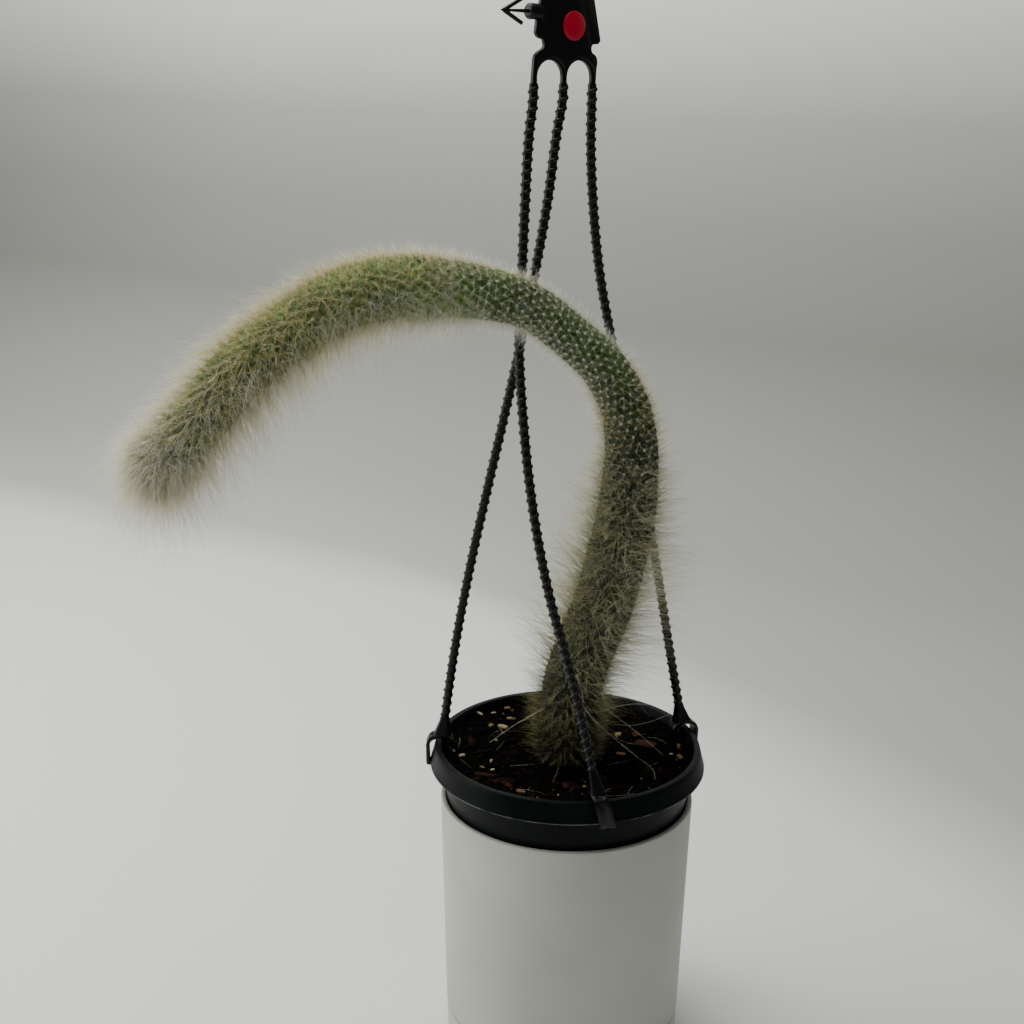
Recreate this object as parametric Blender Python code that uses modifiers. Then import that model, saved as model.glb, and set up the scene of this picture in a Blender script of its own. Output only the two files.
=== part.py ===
"""A monkey tail cactus in a black hanging pot that stands inside a white outer pot.

The stem arches over and hangs to the left. Three ridged strands rise from the
rim of the black pot to a moulded head with a hook.

Units are metres and Z is up. The origin is on the table, on the axis of the
pots. The viewer stands on the -Y side.
"""
import math
import random

import bmesh
import bpy
from mathutils import Matrix, Vector, noise

# Driving dimensions of the pots

TOUCH_GAP = 0.0003
ROUND_STEPS = 36

SAUCER_HEIGHT = 0.0152
SAUCER_RADIUS = 0.0592
SAUCER_WALL = 0.0040
SAUCER_FLOOR = 0.0040

OUTER_POT_TOP = 0.1302
OUTER_POT_BASE = 0.0160
OUTER_POT_TOP_RADIUS = 0.0623
OUTER_POT_BASE_RADIUS = 0.0594
OUTER_POT_MOUTH_RADIUS = 0.0596
OUTER_POT_WALL = 0.0034
OUTER_POT_FLOOR_TOP = 0.0200
FOOT_RADIUS = 0.0535
FOOT_WIDTH = 0.0070
DRAIN_RADIUS = 0.0060

RIM_TOP = 0.1570
RIM_RADIUS = 0.0650
RIM_WIDTH = 0.0030
BAND_BOTTOM = 0.1470
BAND_RADIUS = 0.0674
BAND_WALL = 0.0013
BLACK_POT_FLOOR = 0.0550
BLACK_POT_WALL = 0.0012
WALL_TAPER = 0.119

SOIL_TOP = 0.1480
SOIL_RELIEF = 0.0011
SOIL_BUMPS_PER_METRE = 130.0
SOIL_RINGS = 9
SOIL_STEPS = 30
# The soil's top is level up to this radius and rises to its edge by this much.
SOIL_LEVEL_RADIUS = 0.036
SOIL_EDGE_RISE = 0.0048
SOIL_EDGE_RADIUS = 0.0606
CHIP_COUNT = 22
CHIP_SPREAD = 0.050
CHIP_STEM_CLEARANCE = 0.024
CHIP_SIZES = ((0.006, 0.011), (0.0035, 0.006), (0.002, 0.0032))
CHIP_TILT = 0.3

# Driving dimensions of the cactus

# The middle of the stem from inside the soil to the tip: x, y, z and radius.
STEM_ROUTE = (
    (-0.0001, 0.0038, 0.1260, 0.0148),
    (-0.0001, 0.0038, 0.1370, 0.0148),
    (-0.0001, 0.0038, 0.1480, 0.0148),
    (0.0005, 0.0026, 0.1680, 0.0146),
    (0.0025, -0.0008, 0.1903, 0.0144),
    (0.0087, -0.0030, 0.2119, 0.0144),
    (0.0159, -0.0050, 0.2331, 0.0142),
    (0.0203, -0.0070, 0.2538, 0.0141),
    (0.0241, -0.0090, 0.2741, 0.0138),
    (0.0255, -0.0120, 0.2942, 0.0128),
    (0.0251, -0.0150, 0.3138, 0.0118),
    (0.0203, -0.0190, 0.3331, 0.0109),
    (0.0118, -0.0220, 0.3476, 0.0103),
    (-0.0048, -0.0270, 0.3636, 0.0097),
    (-0.0210, -0.0340, 0.3762, 0.0099),
    (-0.0406, -0.0450, 0.3837, 0.0109),
    (-0.0603, -0.0560, 0.3871, 0.0121),
    (-0.0753, -0.0660, 0.3885, 0.0125),
    (-0.1014, -0.0840, 0.3835, 0.0118),
    (-0.1185, -0.0970, 0.3731, 0.0114),
    (-0.1354, -0.1090, 0.3604, 0.0113),
    (-0.1486, -0.1190, 0.3446, 0.0110),
    (-0.1622, -0.1280, 0.3298, 0.0103),
)
STEM_SIDES = 18
STEM_HOLE_GAP = 0.0008
TIP_DOME_DEGREES = (28, 52, 72)
ROW_STEP = 0.0068
TUBERCLE_INSET = 0.0010
TUBERCLE_RISE = 0.0015
SPINE_ROOT = 0.0006
SPINE_FREE = 0.0030
SPINE_JITTER = 0.16
SPINE_LEAN = 0.22
SPINE_DROOP = 0.35
SPINE_SOIL_GAP = 0.0045
SPINE_SHORTEST = 0.0010
# The spines under the hanging part grow longer, past this share of the stem.
UNDERSIDE_START = 0.45
UNDERSIDE_GROWTH = 0.018

# Length of the hair-like spines along the stem: share of its length, length.
FUR_LENGTHS = (
    (0.00, 0.012),
    (0.05, 0.017),
    (0.10, 0.028),
    (0.20, 0.027),
    (0.28, 0.018),
    (0.38, 0.011),
    (0.46, 0.006),
    (0.66, 0.006),
    (0.78, 0.009),
    (0.92, 0.013),
    (1.00, 0.015),
)

# Driving dimensions of the hanger

STRAND_CORE_RADIUS = 0.00175
STRAND_RIDGE_RADIUS = 0.00240
STRAND_SIDES = 5
RIDGE_PITCH = 0.0085
RIDGE_HALF_WIDTH = 0.0013
ROUTE_STEP = 0.0020

# A clip across the rim, as (radius, height): its outer side from the inner leg
# over the rim, and its inner side from the band back to the inner leg.
CLIP_WIDTH = 0.0073
CLIP_STRAP = 0.0018
CLIP_TOE = 0.0016
CLIP_TOE_RADIUS = 0.0640
CLIP_OUTSIDE = (
    (0.0558, 0.1541), (0.0556, 0.1570), (0.0572, 0.1598), (0.0600, 0.1612),
    (0.0650, 0.1610), (0.0680, 0.1595), (0.0696, 0.1565),
)
CLIP_INSIDE = (
    (0.0680, 0.1560), (0.0667, 0.1582), (0.0645, 0.1592), (0.0604, 0.1594),
    (0.0584, 0.1586), (0.0572, 0.1566), (0.0573, 0.1541),
)

# The fan widens a strand's end down to the middle of its clip.
FAN_LENGTH = 0.0105
FAN_DEPTH = 0.0092
FAN_TOP_SHARE = 0.44
FAN_SINK = 0.0006
FAN_RADIUS = 0.0615
FAN_BASE = 0.1602

HEAD_TURN = math.radians(39)
HEAD_CENTRE = Vector((-0.0084, 0.0, 0.4686))
HEAD_THICKNESS = 0.0020
LEG_SPACING = 0.0168
LEG_HALF_WIDTH = 0.0013
ARCH_TOP = 0.0102

# The plate's edges, as (width, height) on the head: up its right side from the
# outer leg to the shank, and down its left side again.
PLATE_RIGHT = (
    (0.0184, 0.0060), (0.0187, 0.0108), (0.0176, 0.0126), (0.0156, 0.0137),
    (0.0155, 0.0166), (0.0196, 0.0176), (0.0203, 0.0186), (0.0199, 0.0208),
    (0.0164, 0.0352), (0.0120, 0.0462),
)
PLATE_LEFT = (
    (-0.0095, 0.0462), (-0.0140, 0.0345), (-0.0162, 0.0255), (-0.0162, 0.0202),
    (-0.0152, 0.0192), (-0.0124, 0.0184), (-0.0118, 0.0158), (-0.0156, 0.0132),
    (-0.0169, 0.0118), (-0.0176, 0.0072),
)
SHANK_HALF_WIDTH = 0.0036
SHANK_BASE = 0.0520
HOOK_CENTRE = Vector((0.0012, 0.0722))
HOOK_RADIUS = 0.0110
HOOK_WIDTH = 0.0055
HOOK_MOUTH_DEGREES = 196

PEG_HEIGHT = 0.0298
PEG_RADIUS = 0.0009
PEG_TIP = -0.0350
BARB_BACK = -0.0237
BARB_RISE = 0.0050
KNOB_RADIUS = 0.0033
KNOB_INSIDE = -0.0140
KNOB_FACE = -0.0212

BUTTON_PLACE = Vector((0.0042, 0.0245))
BUTTON_RADIUS = 0.0062
BUTTON_DOME = 0.0018
BUTTON_PIN_RADIUS = 0.0026
BUTTON_EDGE = 0.0004

# Routes of the three strands, from the head down to the top of each clip.
STRAND_ROUTES = {
    "strand_front": (
        (-0.0229, -0.0112, 0.4500),
        (-0.0244, -0.0130, 0.4202),
        (-0.0254, -0.0144, 0.3896),
        (-0.0263, -0.0193, 0.3589),
        (-0.0237, -0.0295, 0.3213),
        (-0.0201, -0.0367, 0.2920),
        (-0.0148, -0.0423, 0.2630),
        (-0.0101, -0.0455, 0.2434),
        (-0.0051, -0.0482, 0.2264),
        (0.0030, -0.0530, 0.1959),
    ),
    "strand_left": (
        (-0.0106, 0.0005, 0.4500),
        (-0.0142, 0.0006, 0.4200),
        (-0.0199, 0.0006, 0.3850),
        (-0.0265, 0.0006, 0.3500),
        (-0.0331, 0.0006, 0.3189),
        (-0.0409, 0.0005, 0.2828),
        (-0.0486, 0.0004, 0.2455),
        (-0.0549, 0.0003, 0.2098),
        (-0.0586, 0.0001, 0.1837),
    ),
    "strand_right": (
        (0.0047, 0.0111, 0.4449),
        (0.0063, 0.0116, 0.4186),
        (0.0106, 0.0124, 0.3841),
        (0.0161, 0.0132, 0.3576),
        (0.0302, 0.0148, 0.3000),
        (0.0429, 0.0170, 0.2390),
        (0.0507, 0.0186, 0.1977),
    ),
}
STRAND_LEG = {"strand_front": -1, "strand_left": 0, "strand_right": 1}
CLIP_AZIMUTH = {
    "strand_front": math.radians(-76.4),
    "strand_left": math.radians(180.0),
    "strand_right": math.radians(19.0),
}
# A clip's shift along the rim for each metre of height above the band's bottom.
CLIP_LEAN = {"strand_front": -0.24, "strand_left": 0.0, "strand_right": 0.0}


# Scene and material helpers

def clear_scene():
    """Remove every object, so that the model starts from nothing."""
    for thing in list(bpy.data.objects):
        bpy.data.objects.remove(thing, do_unlink=True)


def new_collection(name):
    """Add a collection to the scene."""
    collection = bpy.data.collections.new(name)
    bpy.context.scene.collection.children.link(collection)
    return collection


def finish_material(name, colour, roughness):
    """Make the Principled material of one piece; colour is linear RGB."""
    material = bpy.data.materials.new(name)
    material.use_nodes = True
    shader = material.node_tree.nodes["Principled BSDF"]
    shader.inputs["Base Color"].default_value = (*colour, 1.0)
    shader.inputs["Roughness"].default_value = roughness
    shader.inputs["Metallic"].default_value = 0.0
    material.diffuse_color = (*colour, 1.0)
    return material


def give_material(thing, material):
    """Make a material the only one of an object."""
    thing.data.materials.clear()
    thing.data.materials.append(material)


def add_object(name, mesh, collection, material=None):
    """Put a mesh into a collection as an object."""
    thing = bpy.data.objects.new(name, mesh)
    collection.objects.link(thing)
    if material is not None:
        give_material(thing, material)
    return thing


def object_from(shape, name, collection):
    """Turn a finished bmesh into an object, and free the bmesh."""
    mesh = bpy.data.meshes.new(name)
    shape.to_mesh(mesh)
    shape.free()
    return add_object(name, mesh, collection)


def applied_mesh(thing):
    """Return an object's evaluated mesh, with its modifiers applied."""
    bpy.context.view_layer.update()
    depsgraph = bpy.context.evaluated_depsgraph_get()
    return bpy.data.meshes.new_from_object(thing.evaluated_get(depsgraph))


def bake(thing):
    """Apply all modifiers of a mesh object and put its place into the mesh."""
    mesh = applied_mesh(thing)
    mesh.transform(thing.matrix_world)
    old = thing.data
    thing.modifiers.clear()
    thing.data = mesh
    thing.matrix_world = Matrix.Identity(4)
    bpy.data.meshes.remove(old)
    return thing


def curve_to_mesh(thing, collection, material=None):
    """Turn a curve object into a welded mesh object with the same name."""
    mesh = applied_mesh(thing)
    mesh.transform(thing.matrix_world)
    name = thing.name
    bpy.data.objects.remove(thing, do_unlink=True)
    welded = bmesh.new()
    welded.from_mesh(mesh)
    bmesh.ops.remove_doubles(welded, verts=welded.verts, dist=0.00001)
    bmesh.ops.recalc_face_normals(welded, faces=welded.faces)
    welded.to_mesh(mesh)
    welded.free()
    return add_object(name, mesh, collection, material)


def shade_round(thing, degrees=40):
    """Shade a piece smooth, with sharp edges past an angle."""
    thing.data.shade_smooth()
    thing.data.set_sharp_from_angle(angle=math.radians(degrees))


def boolean(target, operation, collection):
    """Join a collection's objects to the target, or cut them out of it."""
    modifier = target.modifiers.new(operation.title(), "BOOLEAN")
    modifier.operation = operation
    modifier.operand_type = "COLLECTION"
    modifier.collection = collection
    modifier.solver = "EXACT"
    bake(target)
    for thing in list(collection.objects):
        bpy.data.objects.remove(thing, do_unlink=True)


def turned_piece(name, profile, collection, material, closed=True, steps=ROUND_STEPS):
    """Turn a profile of (radius, height) points about Z with a Screw modifier."""
    count = len(profile)
    edges = [(i, i + 1) for i in range(count - 1)]
    if closed:
        edges.append((count - 1, 0))
    mesh = bpy.data.meshes.new(name)
    mesh.from_pydata([(r, 0.0, z) for r, z in profile], edges, [])
    thing = add_object(name, mesh, collection, material)
    screw = thing.modifiers.new("Turn", "SCREW")
    screw.axis = "Z"
    screw.steps = steps
    screw.render_steps = steps
    screw.use_merge_vertices = True
    screw.merge_threshold = 0.00005
    bake(thing)
    thing.data.materials.append(material)
    shade_round(thing, 30)
    return thing


# Routes

def speed_at(points, i):
    """Change of each value for each metre of route, at one of its points."""
    low = points[max(i - 1, 0)]
    here = points[i]
    high = points[min(i + 1, len(points) - 1)]
    before = math.dist(low[:3], here[:3])
    after = math.dist(here[:3], high[:3])
    if before == 0.0:
        return [(q - p) / after for p, q in zip(here, high)]
    if after == 0.0:
        return [(q - p) / before for p, q in zip(low, here)]
    return [((q - p) / before * after + (r - q) / after * before) / (before + after)
            for p, q, r in zip(low, here, high)]


def smooth_route(points, step):
    """Points at an even step along a smooth curve through the given ones.

    Each point is a tuple of three coordinates, with any further values, such
    as a radius, interpolated beside them.
    """
    pieces = 24
    dense = []
    for i in range(len(points) - 1):
        a, b = points[i], points[i + 1]
        va, vb = speed_at(points, i), speed_at(points, i + 1)
        span = math.dist(a[:3], b[:3])
        for k in range(pieces):
            t = k / pieces
            start = 2 * t ** 3 - 3 * t ** 2 + 1
            leave = (t ** 3 - 2 * t ** 2 + t) * span
            arrive = (t ** 3 - t ** 2) * span
            dense.append([start * p + leave * u + (1 - start) * q + arrive * v
                          for p, q, u, v in zip(a, b, va, vb)])
    dense.append(list(points[-1]))
    lengths = [0.0]
    for a, b in zip(dense, dense[1:]):
        lengths.append(lengths[-1] + math.dist(a[:3], b[:3]))
    count = max(2, round(lengths[-1] / step))
    route = []
    k = 0
    for i in range(count + 1):
        want = lengths[-1] * i / count
        while k < len(lengths) - 2 and lengths[k + 1] < want:
            k += 1
        t = (want - lengths[k]) / (lengths[k + 1] - lengths[k])
        route.append([p + (q - p) * t for p, q in zip(dense[k], dense[k + 1])])
    return route


def clip_shear(name):
    """The shear that leans a clip along the rim and leaves its heights alone."""
    azimuth = CLIP_AZIMUTH[name]
    shear = Matrix.Identity(4)
    for row, part in enumerate((-math.sin(azimuth), math.cos(azimuth))):
        shear[row][2] = part * CLIP_LEAN[name]
        shear[row][3] = -part * CLIP_LEAN[name] * BAND_BOTTOM
    return shear


def strand_end(name):
    """The place where a strand runs into the fan of its clip, and its direction."""
    azimuth = CLIP_AZIMUTH[name]
    upright = Vector((FAN_RADIUS * math.cos(azimuth), FAN_RADIUS * math.sin(azimuth), FAN_BASE))
    base = clip_shear(name) @ upright
    above = Vector(STRAND_ROUTES[name][-1])
    direction = (above - base).normalized()
    return base, base + direction * FAN_LENGTH, direction


def strand_route(name):
    """The even route of a strand's middle, from its clip up to the head's leg."""
    offset = STRAND_LEG[name] * LEG_SPACING
    top = HEAD_CENTRE + Vector((math.cos(HEAD_TURN), math.sin(HEAD_TURN), 0.0)) * offset
    top.z -= TOUCH_GAP
    below_top = top - Vector((0.0, 0.0, 0.004))
    base, fan_top, direction = strand_end(name)
    inside_fan = fan_top - direction * 0.002
    points = [tuple(top), tuple(below_top), *STRAND_ROUTES[name], tuple(fan_top), tuple(inside_fan)]
    points.reverse()
    return [Vector(p) for p in smooth_route(points, ROUTE_STEP)]


# Pots and soil

def make_saucer(collection):
    """A low white dish; its rim stands just below the outer pot's side."""
    inside = SAUCER_RADIUS - SAUCER_WALL
    profile = [
        (0.0, SAUCER_FLOOR),
        (inside - 0.001, SAUCER_FLOOR),
        (inside, SAUCER_FLOOR + 0.001),
        (inside, SAUCER_HEIGHT),
        (SAUCER_RADIUS - 0.0005, SAUCER_HEIGHT),
        (SAUCER_RADIUS, SAUCER_HEIGHT - 0.0005),
        (SAUCER_RADIUS - 0.0004, 0.0008),
        (SAUCER_RADIUS - 0.0012, 0.0),
        (0.0, 0.0),
    ]
    glaze = finish_material("matt white glaze saucer", (0.52, 0.52, 0.47), 0.6)
    return turned_piece("saucer", profile, collection, glaze, closed=False)


def make_outer_pot(collection):
    """The white pot: a slightly tapered cylinder on a foot ring in the saucer."""
    foot_bottom = SAUCER_FLOOR + TOUCH_GAP
    foot_inside = FOOT_RADIUS - FOOT_WIDTH
    recess = foot_bottom + 0.006
    inner_base = OUTER_POT_BASE_RADIUS - OUTER_POT_WALL
    profile = [
        (OUTER_POT_MOUTH_RADIUS + 0.0006, OUTER_POT_TOP),
        (OUTER_POT_TOP_RADIUS - 0.0009, OUTER_POT_TOP),
        (OUTER_POT_TOP_RADIUS, OUTER_POT_TOP - 0.0009),
        (OUTER_POT_BASE_RADIUS, OUTER_POT_BASE + 0.0006),
        (OUTER_POT_BASE_RADIUS - 0.0006, OUTER_POT_BASE),
        (FOOT_RADIUS, OUTER_POT_BASE),
        (FOOT_RADIUS, foot_bottom),
        (foot_inside, foot_bottom),
        (foot_inside, recess),
        (DRAIN_RADIUS, recess),
        (DRAIN_RADIUS, OUTER_POT_FLOOR_TOP),
        (inner_base - 0.003, OUTER_POT_FLOOR_TOP),
        (inner_base, OUTER_POT_FLOOR_TOP + 0.003),
        (OUTER_POT_MOUTH_RADIUS, OUTER_POT_TOP - 0.0006),
    ]
    glaze = finish_material("matt white glaze", (0.52, 0.52, 0.47), 0.6)
    return turned_piece("outer_pot", profile, collection, glaze)


def black_wall_radius(height):
    """Outer radius of the black pot's wall at a height."""
    at_mouth = OUTER_POT_MOUTH_RADIUS - TOUCH_GAP
    return at_mouth + (height - OUTER_POT_TOP) * WALL_TAPER


def make_black_pot(collection):
    """The thin black hanging pot: tapered wall, flat rim and a flared band."""
    rim_inside = RIM_RADIUS - RIM_WIDTH
    under_rim = RIM_TOP - BLACK_POT_WALL
    floor_radius = black_wall_radius(BLACK_POT_FLOOR)
    floor_top = BLACK_POT_FLOOR + BLACK_POT_WALL
    neck = BAND_BOTTOM + 0.001
    profile = [
        (RIM_RADIUS - 0.0004, RIM_TOP),
        (RIM_RADIUS, RIM_TOP - 0.0004),
        (BAND_RADIUS, BAND_BOTTOM),
        (BAND_RADIUS - BAND_WALL, BAND_BOTTOM),
        (RIM_RADIUS - BAND_WALL, under_rim),
        (rim_inside + 0.0008, under_rim),
        (black_wall_radius(neck), neck),
        (floor_radius + 0.0006, BLACK_POT_FLOOR + 0.003),
        (floor_radius - 0.0015, BLACK_POT_FLOOR),
        (DRAIN_RADIUS, BLACK_POT_FLOOR),
        (DRAIN_RADIUS, floor_top),
        (floor_radius - 0.0022, floor_top),
        (black_wall_radius(neck) - BLACK_POT_WALL, neck),
        (rim_inside, RIM_TOP - 0.0005),
        (rim_inside + 0.0004, RIM_TOP),
    ]
    plastic = finish_material("black polypropylene pot", (0.010, 0.014, 0.015), 0.45)
    return turned_piece("black_pot", profile, collection, plastic)


def soil_rise(radius):
    """Height of the soil above its level middle: it is heaped at its edge."""
    share = (radius - SOIL_LEVEL_RADIUS) / (SOIL_EDGE_RADIUS - SOIL_LEVEL_RADIUS)
    share = min(1.0, max(0.0, share))
    return SOIL_EDGE_RISE * share ** 2 * (3 - 2 * share)


def add_chips(cutters):
    """Bark chips: small tilted blocks strewn over the soil, clear of the stem."""
    draw = random.Random(5)
    stem = Vector(STEM_ROUTE[0][:2])
    placed = 0
    while placed < CHIP_COUNT:
        angle = draw.uniform(0, 2 * math.pi)
        radius = CHIP_SPREAD * math.sqrt(draw.random())
        height = SOIL_TOP + soil_rise(radius)
        place = Vector((radius * math.cos(angle), radius * math.sin(angle), height))
        if (place.xy - stem).length < CHIP_STEM_CLEARANCE:
            continue
        size = Matrix.Diagonal([draw.uniform(*limits) for limits in CHIP_SIZES] + [1.0])
        spin = Matrix.Rotation(draw.uniform(0, math.pi), 4, "Z")
        tilt = Matrix.Rotation(draw.uniform(-CHIP_TILT, CHIP_TILT), 4, "X")
        chip = bmesh.new()
        bmesh.ops.create_cube(chip, size=1.0, matrix=Matrix.Translation(place) @ spin @ tilt @ size)
        object_from(chip, "chip", cutters)
        placed += 1


def add_stem_hole(cutters):
    """A plain round hole for the end of the stem, open at the top."""
    x, y, bottom, radius = STEM_ROUTE[0]
    height = 2 * (SOIL_TOP - bottom)
    middle = Matrix.Translation((x, y, bottom - TOUCH_GAP + height / 2))
    wide = radius + STEM_HOLE_GAP
    hole = bmesh.new()
    bmesh.ops.create_cone(
        hole, cap_ends=True, segments=24, radius1=wide, radius2=wide, depth=height, matrix=middle)
    object_from(hole, "stem_hole", cutters)


def make_soil(collection, cutters):
    """Peat that fills the black pot, with bark chips and a hole for the stem."""
    clear = BLACK_POT_WALL + TOUCH_GAP
    bottom = BLACK_POT_FLOOR + BLACK_POT_WALL + TOUCH_GAP
    bottom_edge = black_wall_radius(bottom) - clear - 0.0012
    rings = [SOIL_EDGE_RADIUS * i / SOIL_RINGS for i in range(SOIL_RINGS + 1)]
    profile = [(radius, SOIL_TOP + soil_rise(radius)) for radius in rings]
    profile += [(black_wall_radius(SOIL_TOP) - clear, SOIL_TOP), (bottom_edge, bottom), (0.0, bottom)]
    peat = finish_material("peat and bark", (0.012, 0.010, 0.008), 0.95)
    soil = turned_piece("soil", profile, collection, peat, closed=False, steps=SOIL_STEPS)
    for vertex in soil.data.vertices:
        radius = vertex.co.xy.length
        if radius < rings[-2] + 0.001 and vertex.co.z > bottom + 0.001:
            relief = SOIL_RELIEF * (1 - 0.6 * soil_rise(radius) / SOIL_EDGE_RISE)
            vertex.co.z += relief * noise.noise(vertex.co * SOIL_BUMPS_PER_METRE)
    add_chips(cutters)
    boolean(soil, "UNION", cutters)
    add_stem_hole(cutters)
    boolean(soil, "DIFFERENCE", cutters)
    give_material(soil, peat)
    return soil


# Cactus

def fur_length(share):
    """Length of the spines at a share of the stem's length."""
    for (s0, l0), (s1, l1) in zip(FUR_LENGTHS, FUR_LENGTHS[1:]):
        if share <= s1:
            return l0 + (l1 - l0) * (share - s0) / (s1 - s0)
    return FUR_LENGTHS[-1][1]


def stem_rows():
    """Rows of the stem: place and radius, with a domed end at the tip."""
    rows = smooth_route(STEM_ROUTE, ROW_STEP)
    last = Vector(rows[-1][:3])
    forward = (last - Vector(rows[-2][:3])).normalized()
    dome = rows[-1][3]
    for degrees in TIP_DOME_DEGREES:
        angle = math.radians(degrees)
        place = last + forward * dome * math.sin(angle)
        rows.append([*place, dome * math.cos(angle)])
    return rows


def every_other_quad(mesh):
    """Choose quads as on a chess board, so that they run in spiral rows."""
    quads = {face for face in mesh.faces if len(face.verts) == 4}
    mesh.faces.ensure_lookup_table()
    start = next(face for face in mesh.faces if face in quads)
    side = {start: 0}
    queue = [start]
    while queue:
        face = queue.pop()
        for edge in face.edges:
            for other in edge.link_faces:
                if other in quads and other not in side:
                    side[other] = 1 - side[face]
                    queue.append(other)
    return [face for face in mesh.faces if side.get(face) == 0]


def nearest_row(place, rows):
    """Index of the stem row that is nearest to a place."""
    return min(range(len(rows)), key=lambda i: (Vector(rows[i][:3]) - place).length_squared)


def free_length(root, way, length, strands):
    """Shorten a spine that would come too near a strand."""
    steps = 8
    for k in range(1, steps + 1):
        place = root + way * length * k / steps
        if any((place - point).length < SPINE_FREE for point in strands):
            return length * (k - 2) / steps
    return length


def stem_tube(rows, collection, skin):
    """The bare stem: a tube along its rows, each with its own radius."""
    curve = bpy.data.curves.new("cactus", "CURVE")
    curve.dimensions = "3D"
    curve.bevel_depth = 1.0
    curve.bevel_resolution = (STEM_SIDES - 4) // 2
    curve.use_fill_caps = True
    spline = curve.splines.new("POLY")
    spline.points.add(len(rows) - 1)
    for point, (x, y, z, radius) in zip(spline.points, rows):
        point.co = (x, y, z, 1.0)
        point.radius = radius
    tube = bpy.data.objects.new("cactus", curve)
    collection.objects.link(tube)
    return curve_to_mesh(tube, collection, skin)


def spine_way(face, forward, share, draw):
    """Direction of a spine: off the skin, a little towards the tip, and drooping."""
    way = face.normal + forward * SPINE_LEAN
    way += Vector([draw.gauss(0, SPINE_JITTER) for _ in range(3)])
    way.z -= SPINE_DROOP * share
    return way.normalized()


def make_cactus(collection):
    """One grown stem with raised tubercles, each drawn out into a spine."""
    rows = stem_rows()
    skin = finish_material("green cactus skin", (0.075, 0.105, 0.035), 0.75)
    cactus = stem_tube(rows, collection, skin)
    strands = [point for name in STRAND_ROUTES for point in strand_route(name)]
    buried = sum(1 for row in rows if row[2] < SOIL_TOP)
    draw = random.Random(11)
    body = bmesh.new()
    body.from_mesh(cactus.data)
    above = SOIL_TOP + SPINE_SOIL_GAP
    spined = [f for f in every_other_quad(body) if f.calc_center_median().z > above]
    bmesh.ops.inset_individual(body, faces=spined, thickness=TUBERCLE_INSET, depth=TUBERCLE_RISE)
    spined.extend(f for f in body.faces if len(f.verts) > 4 and f.calc_center_median().z > above)
    for face in spined:
        middle = face.calc_center_median()
        row = nearest_row(middle, rows)
        after = Vector(rows[min(row + 1, len(rows) - 1)][:3])
        before = Vector(rows[max(row - 1, 0)][:3])
        share = max(0.0, (row - buried) / (len(rows) - buried - 1))
        way = spine_way(face, (after - before).normalized(), share, draw)
        for vertex in face.verts:
            vertex.co = middle + (vertex.co - middle).normalized() * SPINE_ROOT
        underside = max(0.0, -face.normal.z) * max(0.0, share - UNDERSIDE_START)
        length = fur_length(share) * draw.uniform(0.75, 1.1) + UNDERSIDE_GROWTH * underside
        length = free_length(middle, way, length, strands)
        tip = middle + way * max(length, SPINE_SHORTEST)
        tip.z = max(tip.z, above)
        centre = bmesh.ops.poke(body, faces=[face])["verts"][0]
        centre.co = tip
    body.to_mesh(cactus.data)
    body.free()
    return cactus


# Hanger

def ridged_rod(length):
    """A straight rod up Z with one right-handed ridge, closed by flat ends.

    A toothed profile is turned once while it rises by one pitch, so its end
    meets the start of the next turn.
    """
    turns = math.ceil(length / RIDGE_PITCH) + 3
    points = [(STRAND_CORE_RADIUS, 0.0, (turns - 2) * RIDGE_PITCH)]
    for turn in range(turns - 1, -1, -1):
        crest = (turn - 1.5) * RIDGE_PITCH
        points.append((STRAND_CORE_RADIUS, 0.0, crest + RIDGE_HALF_WIDTH))
        points.append((STRAND_RIDGE_RADIUS, 0.0, crest))
        points.append((STRAND_CORE_RADIUS, 0.0, crest - RIDGE_HALF_WIDTH))
    mesh = bpy.data.meshes.new("rod")
    mesh.from_pydata(points, [(i, i + 1) for i in range(len(points) - 1)], [])
    thing = bpy.data.objects.new("rod", mesh)
    bpy.context.scene.collection.objects.link(thing)
    screw = thing.modifiers.new("Ridge", "SCREW")
    screw.axis = "Z"
    screw.steps = STRAND_SIDES
    screw.render_steps = STRAND_SIDES
    screw.screw_offset = RIDGE_PITCH
    bake(thing)
    rod = bmesh.new()
    rod.from_mesh(thing.data)
    bpy.data.objects.remove(thing, do_unlink=True)
    bmesh.ops.remove_doubles(rod, verts=rod.verts, dist=0.00002)
    for height, normal in ((0.0, (0, 0, -1)), (length, (0, 0, 1))):
        everything = [*rod.verts, *rod.edges, *rod.faces]
        bmesh.ops.bisect_plane(
            rod, geom=everything, plane_co=(0, 0, height), plane_no=normal, clear_outer=True)
        rim = [edge for edge in rod.edges
               if edge.is_boundary and all(abs(v.co.z - height) < 1e-6 for v in edge.verts)]
        bmesh.ops.holes_fill(rod, edges=rim)
    bmesh.ops.recalc_face_normals(rod, faces=rod.faces)
    return rod


def bend_along(rod, route):
    """Lay a straight rod's vertices along a route, without twisting it."""
    frames = []
    side = Vector((1.0, 0.0, 0.0))
    for i, place in enumerate(route):
        tangent = route[min(i + 1, len(route) - 1)] - route[max(i - 1, 0)]
        tangent.normalize()
        side = (side - tangent * side.dot(tangent)).normalized()
        frames.append((place, side, tangent.cross(side)))
    step = (route[1] - route[0]).length
    for vertex in rod.verts:
        x, y, z = vertex.co
        k = min(int(z / step), len(route) - 2)
        t = z / step - k
        low = frames[k][0] + frames[k][1] * x + frames[k][2] * y
        high = frames[k + 1][0] + frames[k + 1][1] * x + frames[k + 1][2] * y
        vertex.co = low.lerp(high, t)


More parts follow.
